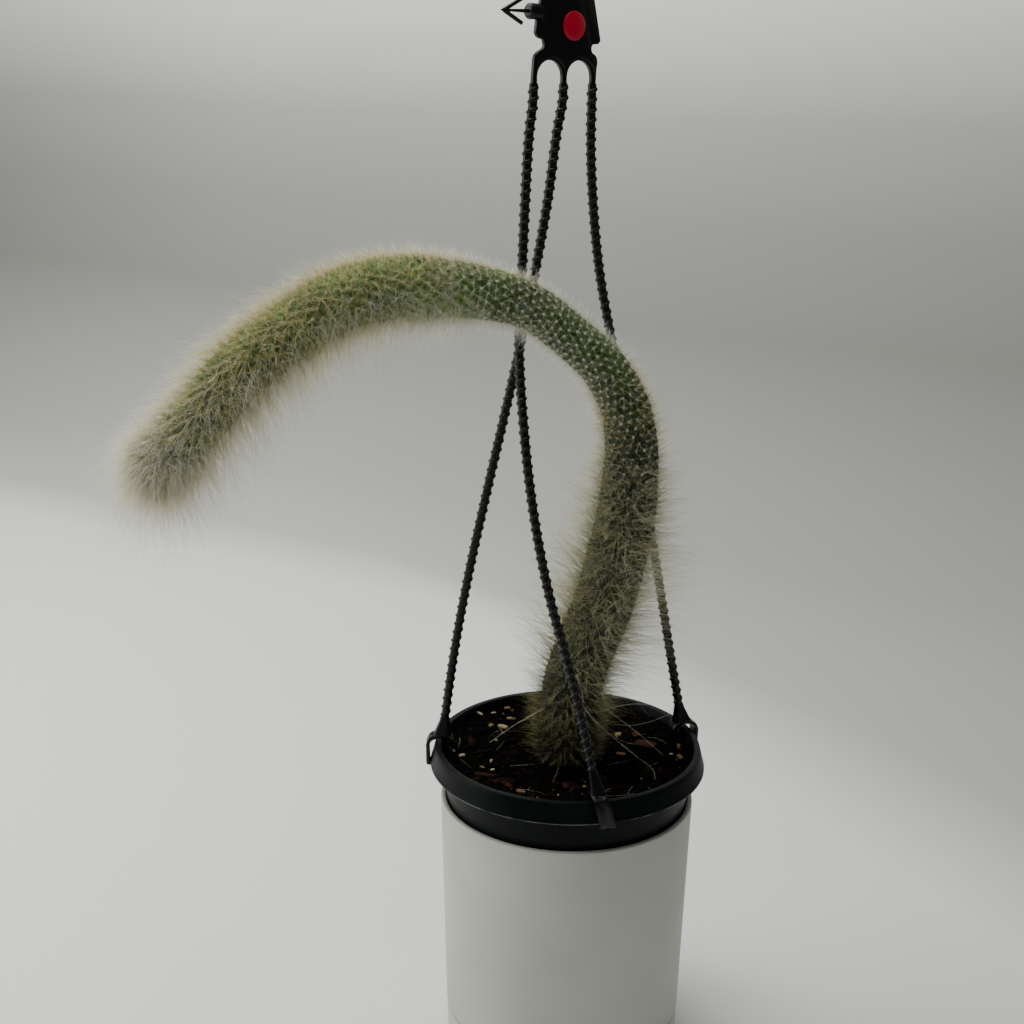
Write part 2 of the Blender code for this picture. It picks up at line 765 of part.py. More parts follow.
def clip_outline():
    """Outline of a clip across the rim: (radius, height), inner leg to toe."""
    low = BAND_BOTTOM - TOUCH_GAP
    out = BAND_RADIUS + TOUCH_GAP
    toe = [
        (out + CLIP_STRAP, low + 0.0005),
        (out + CLIP_STRAP - 0.0004, low - 0.0012),
        (CLIP_TOE_RADIUS, low - CLIP_TOE),
        (CLIP_TOE_RADIUS, low),
        (out, low),
    ]
    return [*CLIP_OUTSIDE, *toe, *CLIP_INSIDE]


def flat_piece(name, outline, thickness, frame, collection, material=None):
    """A flat outline with thickness, placed by a frame whose Z is its normal."""
    curve = bpy.data.curves.new(name, "CURVE")
    curve.dimensions = "2D"
    curve.fill_mode = "BOTH"
    curve.extrude = thickness / 2
    spline = curve.splines.new("POLY")
    spline.points.add(len(outline) - 1)
    for point, (x, y) in zip(spline.points, outline):
        point.co = (x, y, 0.0, 1.0)
    spline.use_cyclic_u = True
    thing = bpy.data.objects.new(name, curve)
    thing.matrix_world = frame
    collection.objects.link(thing)
    return curve_to_mesh(thing, collection, material)


def frame_from(x_axis, y_axis, origin):
    """A placing matrix from two axes and an origin."""
    z_axis = x_axis.cross(y_axis)
    matrix = Matrix((x_axis, y_axis, z_axis)).transposed().to_4x4()
    matrix.translation = origin
    return matrix


def add_fan(name, outward, cutters):
    """The tapered fan between a strand's end and the middle of its clip."""
    base, fan_top, direction = strand_end(name)
    sideways = direction.cross(outward).normalized()
    frame = frame_from(sideways.cross(direction), sideways, base - direction * FAN_SINK)
    half_diagonal = math.sqrt(0.5)
    size = (FAN_DEPTH * half_diagonal, CLIP_WIDTH * half_diagonal, FAN_LENGTH + FAN_SINK)
    square_up = Matrix.Translation((0, 0, 0.5)) @ Matrix.Rotation(math.pi / 4, 4, "Z")
    fan = bmesh.new()
    bmesh.ops.create_cone(
        fan, cap_ends=True, segments=4, radius1=1.0, radius2=FAN_TOP_SHARE, depth=1.0, matrix=square_up)
    bmesh.ops.scale(fan, vec=size, verts=fan.verts)
    bmesh.ops.transform(fan, matrix=frame, verts=fan.verts)
    bmesh.ops.recalc_face_normals(fan, faces=fan.faces)
    object_from(fan, "fan", cutters)


def make_strand(name, collection, cutters, plastic):
    """One ridged strand with its fan and the clip that straddles the rim."""
    route = strand_route(name)
    length = (route[1] - route[0]).length * (len(route) - 1)
    rod = ridged_rod(length)
    bend_along(rod, route)
    strand = object_from(rod, name, collection)
    azimuth = CLIP_AZIMUTH[name]
    outward = Vector((math.cos(azimuth), math.sin(azimuth), 0.0))
    across = frame_from(outward, Vector((0.0, 0.0, 1.0)), Vector((0.0, 0.0, 0.0)))
    clip = flat_piece("clip", clip_outline(), CLIP_WIDTH, across, cutters)
    clip.data.transform(clip_shear(name))
    add_fan(name, outward, cutters)
    boolean(strand, "UNION", cutters)
    give_material(strand, plastic)
    shade_round(strand, 60)
    return strand


def arc(centre, radius, start, end, steps):
    """Points along an arc, with angles in degrees."""
    points = []
    for i in range(steps + 1):
        angle = math.radians(start + (end - start) * i / steps)
        points.append((centre[0] + radius * math.cos(angle), centre[1] + radius * math.sin(angle)))
    return points


def head_outline():
    """Outline of the head in its own plane: width to the right, height up."""
    leg = LEG_HALF_WIDTH
    arch_radius = LEG_SPACING / 2 - leg
    arch_centre = ARCH_TOP - arch_radius
    outline = [(-LEG_SPACING - leg, 0.0), (-LEG_SPACING + leg, 0.0)]
    outline += arc((-LEG_SPACING / 2, arch_centre), arch_radius, 180, 0, 10)
    outline += [(-leg, 0.0), (leg, 0.0)]
    outline += arc((LEG_SPACING / 2, arch_centre), arch_radius, 180, 0, 10)
    outline += [(LEG_SPACING - leg, 0.0), (LEG_SPACING + leg, 0.0)]
    outline += PLATE_RIGHT
    reach = HOOK_RADIUS + HOOK_WIDTH
    foot = -math.degrees(math.acos(SHANK_HALF_WIDTH / reach))
    shank_left = HOOK_CENTRE.x - SHANK_HALF_WIDTH
    outline += [(HOOK_CENTRE.x + SHANK_HALF_WIDTH, SHANK_BASE)]
    outline += arc(HOOK_CENTRE, reach, foot, HOOK_MOUTH_DEGREES, 22)
    outline += arc(HOOK_CENTRE, HOOK_RADIUS, HOOK_MOUTH_DEGREES + 4, -84, 18)
    outline += [(shank_left, HOOK_CENTRE.y - HOOK_RADIUS - 0.0020), (shank_left, SHANK_BASE)]
    outline += PLATE_LEFT
    return outline


def head_frame():
    """Placing matrix of the head: X to its right, Y up, Z out of its face."""
    right = Vector((math.cos(HEAD_TURN), math.sin(HEAD_TURN), 0.0))
    return frame_from(right, Vector((0.0, 0.0, 1.0)), HEAD_CENTRE)


def add_rod(name, start, end, radius, segments, collection):
    """A round rod between two points in the head's own frame."""
    start = head_frame() @ Vector(start)
    end = head_frame() @ Vector(end)
    along = end - start
    rod = bmesh.new()
    turn = along.to_track_quat("Z", "Y").to_matrix().to_4x4()
    bmesh.ops.create_cone(
        rod, cap_ends=True, segments=segments, radius1=radius, radius2=radius, depth=along.length,
        matrix=Matrix.Translation((start + end) / 2) @ turn)
    return object_from(rod, name, collection)


def make_head(collection, cutters, plastic):
    """The moulded head: three legs, plate, hook above and a barbed peg at its side."""
    head = flat_piece("hanger_head", head_outline(), HEAD_THICKNESS, head_frame(), collection, plastic)
    add_rod("knob", (KNOB_INSIDE, PEG_HEIGHT, 0.0), (KNOB_FACE, PEG_HEIGHT, 0.0), KNOB_RADIUS, 12, cutters)
    tip = (PEG_TIP, PEG_HEIGHT, 0.0)
    add_rod("peg", (KNOB_FACE + 0.001, PEG_HEIGHT, 0.0), tip, PEG_RADIUS, 6, cutters)
    for rise in (BARB_RISE, -BARB_RISE):
        add_rod("barb", tip, (BARB_BACK, PEG_HEIGHT + rise, 0.0), PEG_RADIUS, 6, cutters)
    boolean(head, "UNION", cutters)

    x, y = BUTTON_PLACE
    deep = HEAD_THICKNESS
    add_rod("button_hole", (x, y, -deep), (x, y, deep), BUTTON_PIN_RADIUS + TOUCH_GAP, 16, cutters)
    boolean(head, "DIFFERENCE", cutters)
    give_material(head, plastic)
    shade_round(head, 35)
    return head


def make_button(collection):
    """The red domed button; its pin stands in the plate's hole."""
    face = HEAD_THICKNESS / 2 + TOUCH_GAP
    back = -HEAD_THICKNESS / 2
    profile = [
        (0.0, face + BUTTON_DOME),
        (BUTTON_RADIUS * 0.45, face + BUTTON_DOME * 0.88),
        (BUTTON_RADIUS * 0.80, face + BUTTON_DOME * 0.55),
        (BUTTON_RADIUS, face + BUTTON_EDGE),
        (BUTTON_RADIUS, face),
        (BUTTON_PIN_RADIUS, face),
        (BUTTON_PIN_RADIUS, back),
        (0.0, back),
    ]
    red = finish_material("red polypropylene", (0.42, 0.004, 0.018), 0.35)
    button = turned_piece("lock_button", profile, collection, red, closed=False, steps=20)
    x, y = BUTTON_PLACE
    button.data.transform(head_frame() @ Matrix.Translation((x, y, 0.0)))
    return button


def main():
    clear_scene()
    plant = new_collection("potted monkey tail cactus")
    cutters = new_collection("cutters")
    make_saucer(plant)
    make_outer_pot(plant)
    make_black_pot(plant)
    make_soil(plant, cutters)
    make_cactus(plant)
    plastic = finish_material("black polypropylene hanger", (0.008, 0.010, 0.011), 0.35)
    for name in STRAND_ROUTES:
        make_strand(name, plant, cutters, plastic)
    make_head(plant, cutters, plastic)
    make_button(plant)


main()
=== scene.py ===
# %% [markdown]
# # A monkey tail cactus in its hanging pot
#
# This lesson dresses the solids of a potted cactus: a hairy green stem that
# arches over, a black hanging pot with three ridged strands, a matt white outer
# pot and its saucer. Each piece is modelled the way its real counterpart is
# made, gets a finish named for the real one, and sits where its solid sits.
#
# Units are metres and Z is up. The viewer stands on the -Y side.

# %% Load the solids
import math
import random

import bpy
import numpy as np
from mathutils import Matrix, Vector, noise


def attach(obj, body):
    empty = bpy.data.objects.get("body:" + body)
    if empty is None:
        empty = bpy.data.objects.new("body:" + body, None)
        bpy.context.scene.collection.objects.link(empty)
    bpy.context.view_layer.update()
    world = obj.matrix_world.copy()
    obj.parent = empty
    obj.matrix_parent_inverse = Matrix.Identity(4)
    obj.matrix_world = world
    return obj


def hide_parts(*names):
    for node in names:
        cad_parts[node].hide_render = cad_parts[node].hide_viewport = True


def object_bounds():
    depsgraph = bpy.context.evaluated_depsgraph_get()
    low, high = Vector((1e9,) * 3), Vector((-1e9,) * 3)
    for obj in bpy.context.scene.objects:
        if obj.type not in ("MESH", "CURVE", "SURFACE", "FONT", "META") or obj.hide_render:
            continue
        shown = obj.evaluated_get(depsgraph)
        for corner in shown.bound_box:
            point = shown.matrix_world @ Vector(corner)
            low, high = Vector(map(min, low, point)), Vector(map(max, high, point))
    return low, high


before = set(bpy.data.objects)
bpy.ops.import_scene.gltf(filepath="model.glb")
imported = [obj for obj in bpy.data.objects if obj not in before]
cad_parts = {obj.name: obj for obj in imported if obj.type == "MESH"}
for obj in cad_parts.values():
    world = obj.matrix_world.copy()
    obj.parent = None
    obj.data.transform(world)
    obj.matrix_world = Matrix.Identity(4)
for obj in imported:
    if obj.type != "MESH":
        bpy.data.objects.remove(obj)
cad_box = [list(corner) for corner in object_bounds()]
print("solids:", ", ".join(sorted(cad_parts)))

# %% [markdown]
# ## Working in edit mode
#
# An operator acts on everything that is selected, and the solids are selected
# when they arrive. So each step starts by deselecting all and choosing one
# object. Faces and edges are chosen in code, by their place.

# %% Helpers for objects and selections
def only(thing):
    """Select one object alone and make it active, in object mode."""
    if bpy.context.mode != "OBJECT":
        bpy.ops.object.mode_set(mode="OBJECT")
    bpy.ops.object.select_all(action="DESELECT")
    thing.select_set(True)
    bpy.context.view_layer.objects.active = thing
    return thing


def added(name, add_primitive, **settings):
    """Add a primitive while nothing is selected; name the object and its mesh."""
    bpy.ops.object.select_all(action="DESELECT")
    add_primitive(**settings)
    thing = bpy.context.active_object
    thing.name = name
    thing.data.name = name
    return thing


def edit_all():
    """Go to edit mode with all of the active mesh selected."""
    bpy.ops.object.mode_set(mode="EDIT")
    bpy.ops.mesh.select_all(action="SELECT")


def settle(thing):
    """Put an object's place, turn and size into its mesh."""
    only(thing)
    bpy.ops.object.transform_apply(location=True, rotation=True, scale=True)
    return thing


def points_of(thing):
    """The points of a mesh, as rows."""
    return np.array([vertex.co for vertex in thing.data.vertices])


def close_up(thing, merge=0.00001):
    """Merge doubles and turn all faces outwards."""
    only(thing)
    edit_all()
    bpy.ops.mesh.remove_doubles(threshold=merge)
    bpy.ops.mesh.normals_make_consistent(inside=False)
    bpy.ops.object.mode_set(mode="OBJECT")
    return thing


def smooth(thing, degrees=35):
    """Shade smooth, with sharp edges past an angle."""
    only(thing)
    bpy.ops.object.shade_smooth_by_angle(angle=math.radians(degrees))
    return thing


def bevel(thing, width, segments=2, degrees=35):
    """Round the edges that are sharper than an angle, and shade smooth."""
    only(thing)
    rounding = thing.modifiers.new("Rounding", "BEVEL")
    rounding.width = width
    rounding.segments = segments
    rounding.limit_method = "ANGLE"
    rounding.angle_limit = math.radians(degrees)
    bpy.ops.object.modifier_apply(modifier=rounding.name)
    return smooth(thing)


def discard(thing):
    """Remove a model that has been copied or joined to another."""
    mesh = thing.data
    bpy.data.objects.remove(thing, do_unlink=True)
    bpy.data.meshes.remove(mesh)


def finish(thing, material, slot, *replaced):
    """Give a piece its material, let it ride with the part, and report it."""
    thing.data.materials.clear()
    thing.data.materials.append(material)
    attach(thing, "root")
    if replaced:
        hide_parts(*replaced)
    points = points_of(thing)
    size = " x ".join(f"{1000 * span:.1f}" for span in points.max(0) - points.min(0))
    count = sum(len(face.vertices) - 2 for face in thing.data.polygons)
    print(f"{thing.name}: {size} mm, {count} triangles")
    return thing


# %% [markdown]
# Pots, the saucer, the button and the knob are turned: a profile goes once
# round an axis. A profile starts as one point, is extruded from corner to
# corner, and is spun.

# %% Turning a profile
TURN_STEPS = 144


def draw_profile(name, points):
    """Extrude one point along a profile of (radius, height) in the XZ plane."""
    radius, height = points[0]
    thing = settle(added(name, bpy.ops.mesh.primitive_plane_add, size=0.002, location=(radius, 0.0, height)))
    edit_all()
    bpy.ops.mesh.merge(type="CENTER")
    for (r0, z0), (r1, z1) in zip(points, points[1:]):
        step = (r1 - r0, 0.0, z1 - z0)
        bpy.ops.mesh.extrude_region_move(TRANSFORM_OT_translate={"value": step})
    bpy.ops.mesh.select_all(action="SELECT")
    return thing


def turned(name, points, steps=TURN_STEPS):
    """Spin a profile once round Z and close the seam."""
    thing = draw_profile(name, points)
    bpy.ops.mesh.remove_doubles(threshold=0.000001)
    bpy.ops.mesh.select_all(action="SELECT")
    bpy.ops.mesh.spin(steps=steps, angle=2 * math.pi, center=(0, 0, 0), axis=(0, 0, 1))
    return close_up(thing)


# %% [markdown]
# ## Materials
#
# Every finish starts from what the real one is. Colours are written as sRGB hex
# values, the way a colour picker shows them, and are turned to linear values
# for the shader. Pattern scales come from real sizes in millimetres.

# %% Helpers for materials
def linear(hex_colour):
    """Turn an sRGB hex colour into linear RGBA."""
    parts = [int(hex_colour[i:i + 2], 16) / 255 for i in (1, 3, 5)]
    return (*[c / 12.92 if c <= 0.04045 else ((c + 0.055) / 1.055) ** 2.4 for c in parts], 1.0)


def grain(millimetres):
    """Texture scale whose features are about this many millimetres apart."""
    return 1000.0 / millimetres


def fill_sockets(node, sockets):
    """Give a node's inputs their values, or link them to other nodes' outputs."""
    for name, value in sockets.items():
        if isinstance(value, bpy.types.NodeSocket):
            node.id_data.links.new(value, node.inputs[name])
        else:
            node.inputs[name].default_value = value


def add_node(tree, kind, output, sockets=None, **settings):
    """Add a node, set its properties, fill its inputs and return one output."""
    node = tree.nodes.new("ShaderNode" + kind)
    stops = settings.pop("stops", ())
    while stops and len(node.color_ramp.elements) < len(stops):
        node.color_ramp.elements.new(1.0)
    for stop, (position, colour) in enumerate(stops):
        node.color_ramp.elements[stop].position = position
        node.color_ramp.elements[stop].color = linear(colour)
    for name, value in settings.items():
        setattr(node, name, value)
    fill_sockets(node, sockets or {})
    return node.outputs[output]


def new_material(name, colour, roughness, sockets=None):
    """A Principled material; returns it with its tree and its shader."""
    material = bpy.data.materials.new(name)
    material.use_nodes = True
    shader = material.node_tree.nodes["Principled BSDF"]
    fill_sockets(shader, {"Base Color": linear(colour), "Roughness": roughness, **(sockets or {})})
    return material, material.node_tree, shader


# %% [markdown]
# ## Camera
#
# The camera stands at the photograph's place: a little above the stem's arch,
# looking down by 16 degrees, and turned less than a degree about its own line.

# %% Camera
CAMERA_PLACE = Vector((-0.0286, -0.6786, 0.4724))
CAMERA_PITCH = math.radians(16.24)
CAMERA_ROLL = math.radians(0.66)
CAMERA_LENS = 52.734
CAMERA_SENSOR = 36.0
CAMERA_NEAR = 0.01

bpy.ops.object.camera_add(location=CAMERA_PLACE)
camera = bpy.context.active_object
camera.rotation_mode = "QUATERNION"
aim = Matrix.Rotation(math.pi / 2 - CAMERA_PITCH, 3, "X")
camera.rotation_quaternion = (aim @ Matrix.Rotation(CAMERA_ROLL, 3, "Z")).to_quaternion()
camera.data.lens = CAMERA_LENS
camera.data.sensor_width = CAMERA_SENSOR
camera.data.clip_start = CAMERA_NEAR
bpy.context.scene.camera = camera
print(f"camera at {tuple(round(v, 3) for v in CAMERA_PLACE)} m")

# %% [markdown]
# ## Floor and light
#
# The pot stands on a roll of paper: a pale floor that turns up into a greyer
# wall with no corner, so that nothing but a soft change of tone shows behind the
# plant. It is a grid whose back rows are lifted along an arc, and it stands a
# little askew, as in the photograph. Shade is painted into the paper's colour:
# it darkens upwards, and again towards the right, where its painted bands also
# come down a little.

# %% Paper sweep
SWEEP_FRONT = -1.9
SWEEP_BACK = 0.46
SWEEP_RADIUS = 0.55
SWEEP_SIZE = 6.0
SWEEP_ROWS = 90
SWEEP_TURN = math.radians(-30)
# Height above the floor in metres, and the paper's colour there, with painted shade.
PAPER_PAINTED_SHADES = (
    (0.0, "#eff1ee"), (0.012, "#c2c3c0"), (0.05, "#b2b3b0"), (0.12, "#a8aaa6"),
    (0.22, "#969893"), (0.33, "#a2a4a0"), (0.44, "#b9bbb7"), (0.56, "#f0f1ee"),
)
# The painted shade's bands come down between two distances along this direction.
SHADOW_BAND_WAY = (0.85, 0.53, 0.0)
SHADOW_BAND_DROP = {"From Min": 0.26, "From Max": 0.42, "To Min": 0.0, "To Max": 0.014}
SIDE_PAINTED_SHADE = {"From Min": -0.4, "From Max": 0.7, "To Min": 1.06, "To Max": 0.80}


def sweep_place(distance):
    """Depth and height on the sweep at a distance from its front edge."""
    flat = SWEEP_BACK - SWEEP_FRONT
    if distance < flat:
        return SWEEP_FRONT + distance, 0.0
    angle = min((distance - flat) / SWEEP_RADIUS, math.pi / 2)
    over = max(0.0, distance - flat - SWEEP_RADIUS * math.pi / 2)
    depth = SWEEP_BACK + SWEEP_RADIUS * math.sin(angle)
    return depth, SWEEP_RADIUS * (1 - math.cos(angle)) + over


def paper_with_painted_shade():
    """Matt paper with painted shade: grey painted in upwards and to the right."""
    paper, tree, shader = new_material("paper with painted shade", "#d2d3cf", 0.9, {"Specular IOR Level": 0.1})
    place = add_node(tree, "TexCoord", "Object")
    height = add_node(tree, "SeparateXYZ", "Z", {"Vector": place})
    across = add_node(tree, "SeparateXYZ", "X", {"Vector": place})
    # Painted shade: greyer with height, brought down along a slant, and darker to the right.
    corner = add_node(tree, "VectorMath", "Value", {0: place, 1: SHADOW_BAND_WAY}, operation="DOT_PRODUCT")
    shade = add_node(tree, "MapRange", "Result", {"Value": corner, **SHADOW_BAND_DROP})
    level = add_node(tree, "Math", "Value", {0: height, 1: shade}, operation="ADD")
    tone = add_node(tree, "ValToRGB", "Color", {"Fac": level}, stops=PAPER_PAINTED_SHADES)
    fade = add_node(tree, "MapRange", "Result", {"Value": across, **SIDE_PAINTED_SHADE})
    painted_paper = add_node(tree, "Mix", 2, {0: 1.0, 6: tone, 7: fade}, data_type="RGBA", blend_type="MULTIPLY")
    fill_sockets(shader, {"Base Color": painted_paper})
    return paper


def make_sweep():
    """The floor and wall in one curved sheet."""
    sweep = added("studio_sweep", bpy.ops.mesh.primitive_grid_add,
                  x_subdivisions=2, y_subdivisions=SWEEP_ROWS, size=1.0)
    for vertex in sweep.data.vertices:
        depth, height = sweep_place((vertex.co.y + 0.5) * SWEEP_SIZE)
        vertex.co = Vector((vertex.co.x * SWEEP_SIZE, depth, height))
    sweep.rotation_euler.z = SWEEP_TURN
    smooth(settle(sweep), degrees=60)
    sweep.data.materials.append(paper_with_painted_shade())


make_sweep()

# %% [markdown]
# Most light comes from a soft window at the left and from two soft lamps above,
# one of them behind the plant, which makes the edge of the hair glow. Little
# light fills the side that is seen.

# %% Lights
LAMP_WHITE = "#fffefa"
ROOM_STRENGTH = 0.12
# Each light: its name, its place, what it looks at, its size and its watts.
LIGHTS = (
    ("window_left", (-1.4, 0.1, 0.8), (0.0, 0.0, 0.25), 1.1, 15.0),
    ("lamp_behind", (-0.3, 0.35, 1.5), (-0.3, 0.35, 0.0), 0.7, 12.0),
    ("lamp_above", (-0.2, -0.35, 1.7), (-0.2, -0.3, 0.0), 1.4, 10.5),
)

for name, place, target, size, watts in LIGHTS:
    data = bpy.data.lights.new(name, "AREA")
    data.size = size
    data.energy = watts
    data.color = linear(LAMP_WHITE)[:3]
    light = bpy.data.objects.new(name, data)
    bpy.context.scene.collection.objects.link(light)
    light.location = place
    light.rotation_euler = (Vector(target) - Vector(place)).to_track_quat("-Z", "Y").to_euler()
world = bpy.data.worlds.new("soft room light")
bpy.context.scene.world = world
world.use_nodes = True
fill_sockets(world.node_tree.nodes["Background"], {"Color": linear("#ffffff"), "Strength": ROOM_STRENGTH})
print(len(LIGHTS), "lights")

# %% [markdown]
# ## White outer pot and saucer
#
# Both are slip-cast ceramic under a matt glaze: thick, slightly soft at every
# edge, and the same tone all round. They are turned, and their edges are
# rounded with a bevel as glaze rounds them.

# %% White pot and saucer
TOUCH_GAP = 0.0003
SAUCER_HEIGHT = 0.0152
SAUCER_RADIUS = 0.0592
SAUCER_WALL = 0.0040
SAUCER_FLOOR = 0.0040
OUTER_TOP = 0.1302
OUTER_BASE = 0.0160
OUTER_TOP_RADIUS = 0.0623
OUTER_BASE_RADIUS = 0.0594
MOUTH_RADIUS = 0.0596
OUTER_WALL = 0.0034
OUTER_FLOOR = 0.0200
FOOT_RADIUS = 0.0535
FOOT_WIDTH = 0.0070
FOOT_RECESS = 0.006
DRAIN_RADIUS = 0.0060


def white_glaze():
    """Matt off-white glaze on stoneware.

    The glaze scatters light broadly, so it has no hard highlight. Fine pits of
    about 0.4 mm and a slow drift of tone keep it from looking like paper, and
    a few rubbed marks show at pot height.
    """
    material, tree, shader = new_material("matt white glaze", "#bec0b7", 0.55, {"IOR": 1.5})
    place = add_node(tree, "TexCoord", "Object")
    drift = add_node(tree, "TexNoise", "Fac", {"Vector": place, "Scale": grain(60), "Detail": 2.0})
    tone = add_node(tree, "ValToRGB", "Color", {"Fac": drift}, stops=[(0.35, "#bbbdb4"), (0.65, "#c3c5bc")])
    flat = add_node(tree, "Mapping", "Vector", {"Vector": place, "Scale": (1.0, 1.0, 0.35)})
    rubs = add_node(tree, "TexNoise", "Fac",
                    {"Vector": flat, "Scale": grain(7), "Detail": 6.0, "Roughness": 0.7})
    marks = add_node(tree, "ValToRGB", "Color", {"Fac": rubs}, stops=[(0.70, "#000000"), (0.78, "#ffffff")])
    grey = add_node(tree, "Mix", 2, {0: marks, 6: tone, 7: linear("#aaaaa2")}, data_type="RGBA")
    pits = add_node(tree, "TexNoise", "Fac", {"Vector": place, "Scale": grain(0.8), "Detail": 3.0})
    rough = add_node(tree, "MapRange", "Result", {"Value": pits, "To Min": 0.48, "To Max": 0.64})
    bump = add_node(tree, "Bump", "Normal", {"Height": pits, "Strength": 0.10, "Distance": 0.0002})
    fill_sockets(shader, {"Base Color": grey, "Roughness": rough, "Normal": bump})
    return material


def make_saucer(glaze):
    """The dish under the white pot."""
    inside = SAUCER_RADIUS - SAUCER_WALL
    saucer = turned("white_saucer", [
        (0.0, SAUCER_FLOOR),
        (inside - 0.001, SAUCER_FLOOR),
        (inside, SAUCER_FLOOR + 0.001),
        (inside, SAUCER_HEIGHT),
        (SAUCER_RADIUS, SAUCER_HEIGHT),
        (SAUCER_RADIUS - 0.0004, 0.0006),
        (SAUCER_RADIUS - 0.0010, 0.0),
        (0.0, 0.0),
    ])
    bevel(saucer, width=0.0007, segments=3)
    finish(saucer, glaze, "white_matt_glaze", "saucer")


def make_white_pot(glaze):
    """The white cylinder, on a foot ring, with a soft lip at its mouth."""
    foot_bottom = SAUCER_FLOOR + TOUCH_GAP
    foot_inside = FOOT_RADIUS - FOOT_WIDTH
    inner_base = OUTER_BASE_RADIUS - OUTER_WALL
    pot = turned("white_outer_pot", [
        (MOUTH_RADIUS, OUTER_TOP),
        (OUTER_TOP_RADIUS, OUTER_TOP),
        (OUTER_BASE_RADIUS, OUTER_BASE),
        (FOOT_RADIUS, OUTER_BASE),
        (FOOT_RADIUS, foot_bottom),
        (foot_inside, foot_bottom),
        (foot_inside, foot_bottom + FOOT_RECESS),
        (DRAIN_RADIUS, foot_bottom + FOOT_RECESS),
        (DRAIN_RADIUS, OUTER_FLOOR),
        (inner_base - 0.003, OUTER_FLOOR),
        (inner_base, OUTER_FLOOR + 0.003),
        (MOUTH_RADIUS, OUTER_TOP),
    ])
    bevel(pot, width=0.0009, segments=4)
    finish(pot, glaze, "white_matt_glaze", "outer_pot")


glaze = white_glaze()
make_saucer(glaze)
make_white_pot(glaze)

# %% [markdown]
# ## Black hanging pot
#
# A nursery pot is thin moulded polypropylene. Its rim is a flat ring, and a
# flared band hangs from it. The plastic is satin, and a little dust on it is
# lighter than the plastic.

# %% Black pot
RIM_TOP = 0.1570
RIM_RADIUS = 0.0650
RIM_WIDTH = 0.0030
BAND_BOTTOM = 0.1470
BAND_RADIUS = 0.0674
BAND_WALL = 0.0013
POT_FLOOR = 0.0550
POT_WALL = 0.0012
WALL_TAPER = 0.119
# The painted highlight on the band's lower edge: its height, and where it fades out.
EDGE_HIGHLIGHT_HEIGHT = BAND_BOTTOM + 0.0003
EDGE_HIGHLIGHT_WIDTH = {"From Min": 0.0001, "From Max": 0.00035, "To Min": 1.0, "To Max": 0.0}
EDGE_HIGHLIGHT_BREAKS = {"From Min": 0.40, "From Max": 0.62, "To Min": 0.0, "To Max": 0.8}


def pot_wall_radius(height):
    """Outer radius of the black pot's wall at a height."""
    return MOUTH_RADIUS - TOUCH_GAP + (height - OUTER_TOP) * WALL_TAPER


def black_polypropylene(name, colour, light, roughness, shine):
    """Moulded black polypropylene.

    The mould gives it a satin skin with faint flow marks, and dust of about
    half a millimetre settles on it in patches.
    """
    material, tree, shader = new_material(name, colour, roughness, {"Specular IOR Level": shine})
    place = add_node(tree, "TexCoord", "Object")
    flow = add_node(tree, "TexNoise", "Fac", {"Vector": place, "Scale": grain(14), "Detail": 4.0})
    dust = add_node(tree, "TexNoise", "Fac", {"Vector": place, "Scale": grain(0.9), "Detail": 4.0})
    both = add_node(tree, "Math", "Value", {0: flow, 1: dust}, operation="MULTIPLY")
    tone = add_node(tree, "ValToRGB", "Color", {"Fac": both}, stops=[(0.20, colour), (0.48, light)])
    rough = add_node(tree, "MapRange", "Result",
                     {"Value": flow, "To Min": roughness - 0.08, "To Max": roughness + 0.12})
    bump = add_node(tree, "Bump", "Normal", {"Height": dust, "Strength": 0.08, "Distance": 0.0002})
    fill_sockets(shader, {"Base Color": tone, "Roughness": rough, "Normal": bump})
    return material


def paint_edge_highlight(material, height, colour):
    """Paint a highlight on a moulded edge at a height: a broken pale line under half a millimetre wide."""
    tree = material.node_tree
    shader = tree.nodes["Principled BSDF"]
    plain = shader.inputs["Base Color"].links[0].from_socket
    place = add_node(tree, "TexCoord", "Object")
    level = add_node(tree, "SeparateXYZ", "Z", {"Vector": place})
    away = add_node(tree, "Math", "Value", {0: level, 1: height}, operation="SUBTRACT")
    off = add_node(tree, "Math", "Value", {0: away}, operation="ABSOLUTE")
    line = add_node(tree, "MapRange", "Result", {"Value": off, **EDGE_HIGHLIGHT_WIDTH})
    highlight_noise = add_node(tree, "TexNoise", "Fac", {"Vector": place, "Scale": grain(9), "Detail": 3.0})
    broken = add_node(tree, "MapRange", "Result", {"Value": highlight_noise, **EDGE_HIGHLIGHT_BREAKS})
    share = add_node(tree, "Math", "Value", {0: line, 1: broken}, operation="MULTIPLY")
    # The pale line mixed in here is a painted highlight.
    worn = add_node(tree, "Mix", 2, {0: share, 6: plain, 7: linear(colour)}, data_type="RGBA")
    fill_sockets(shader, {"Base Color": worn})


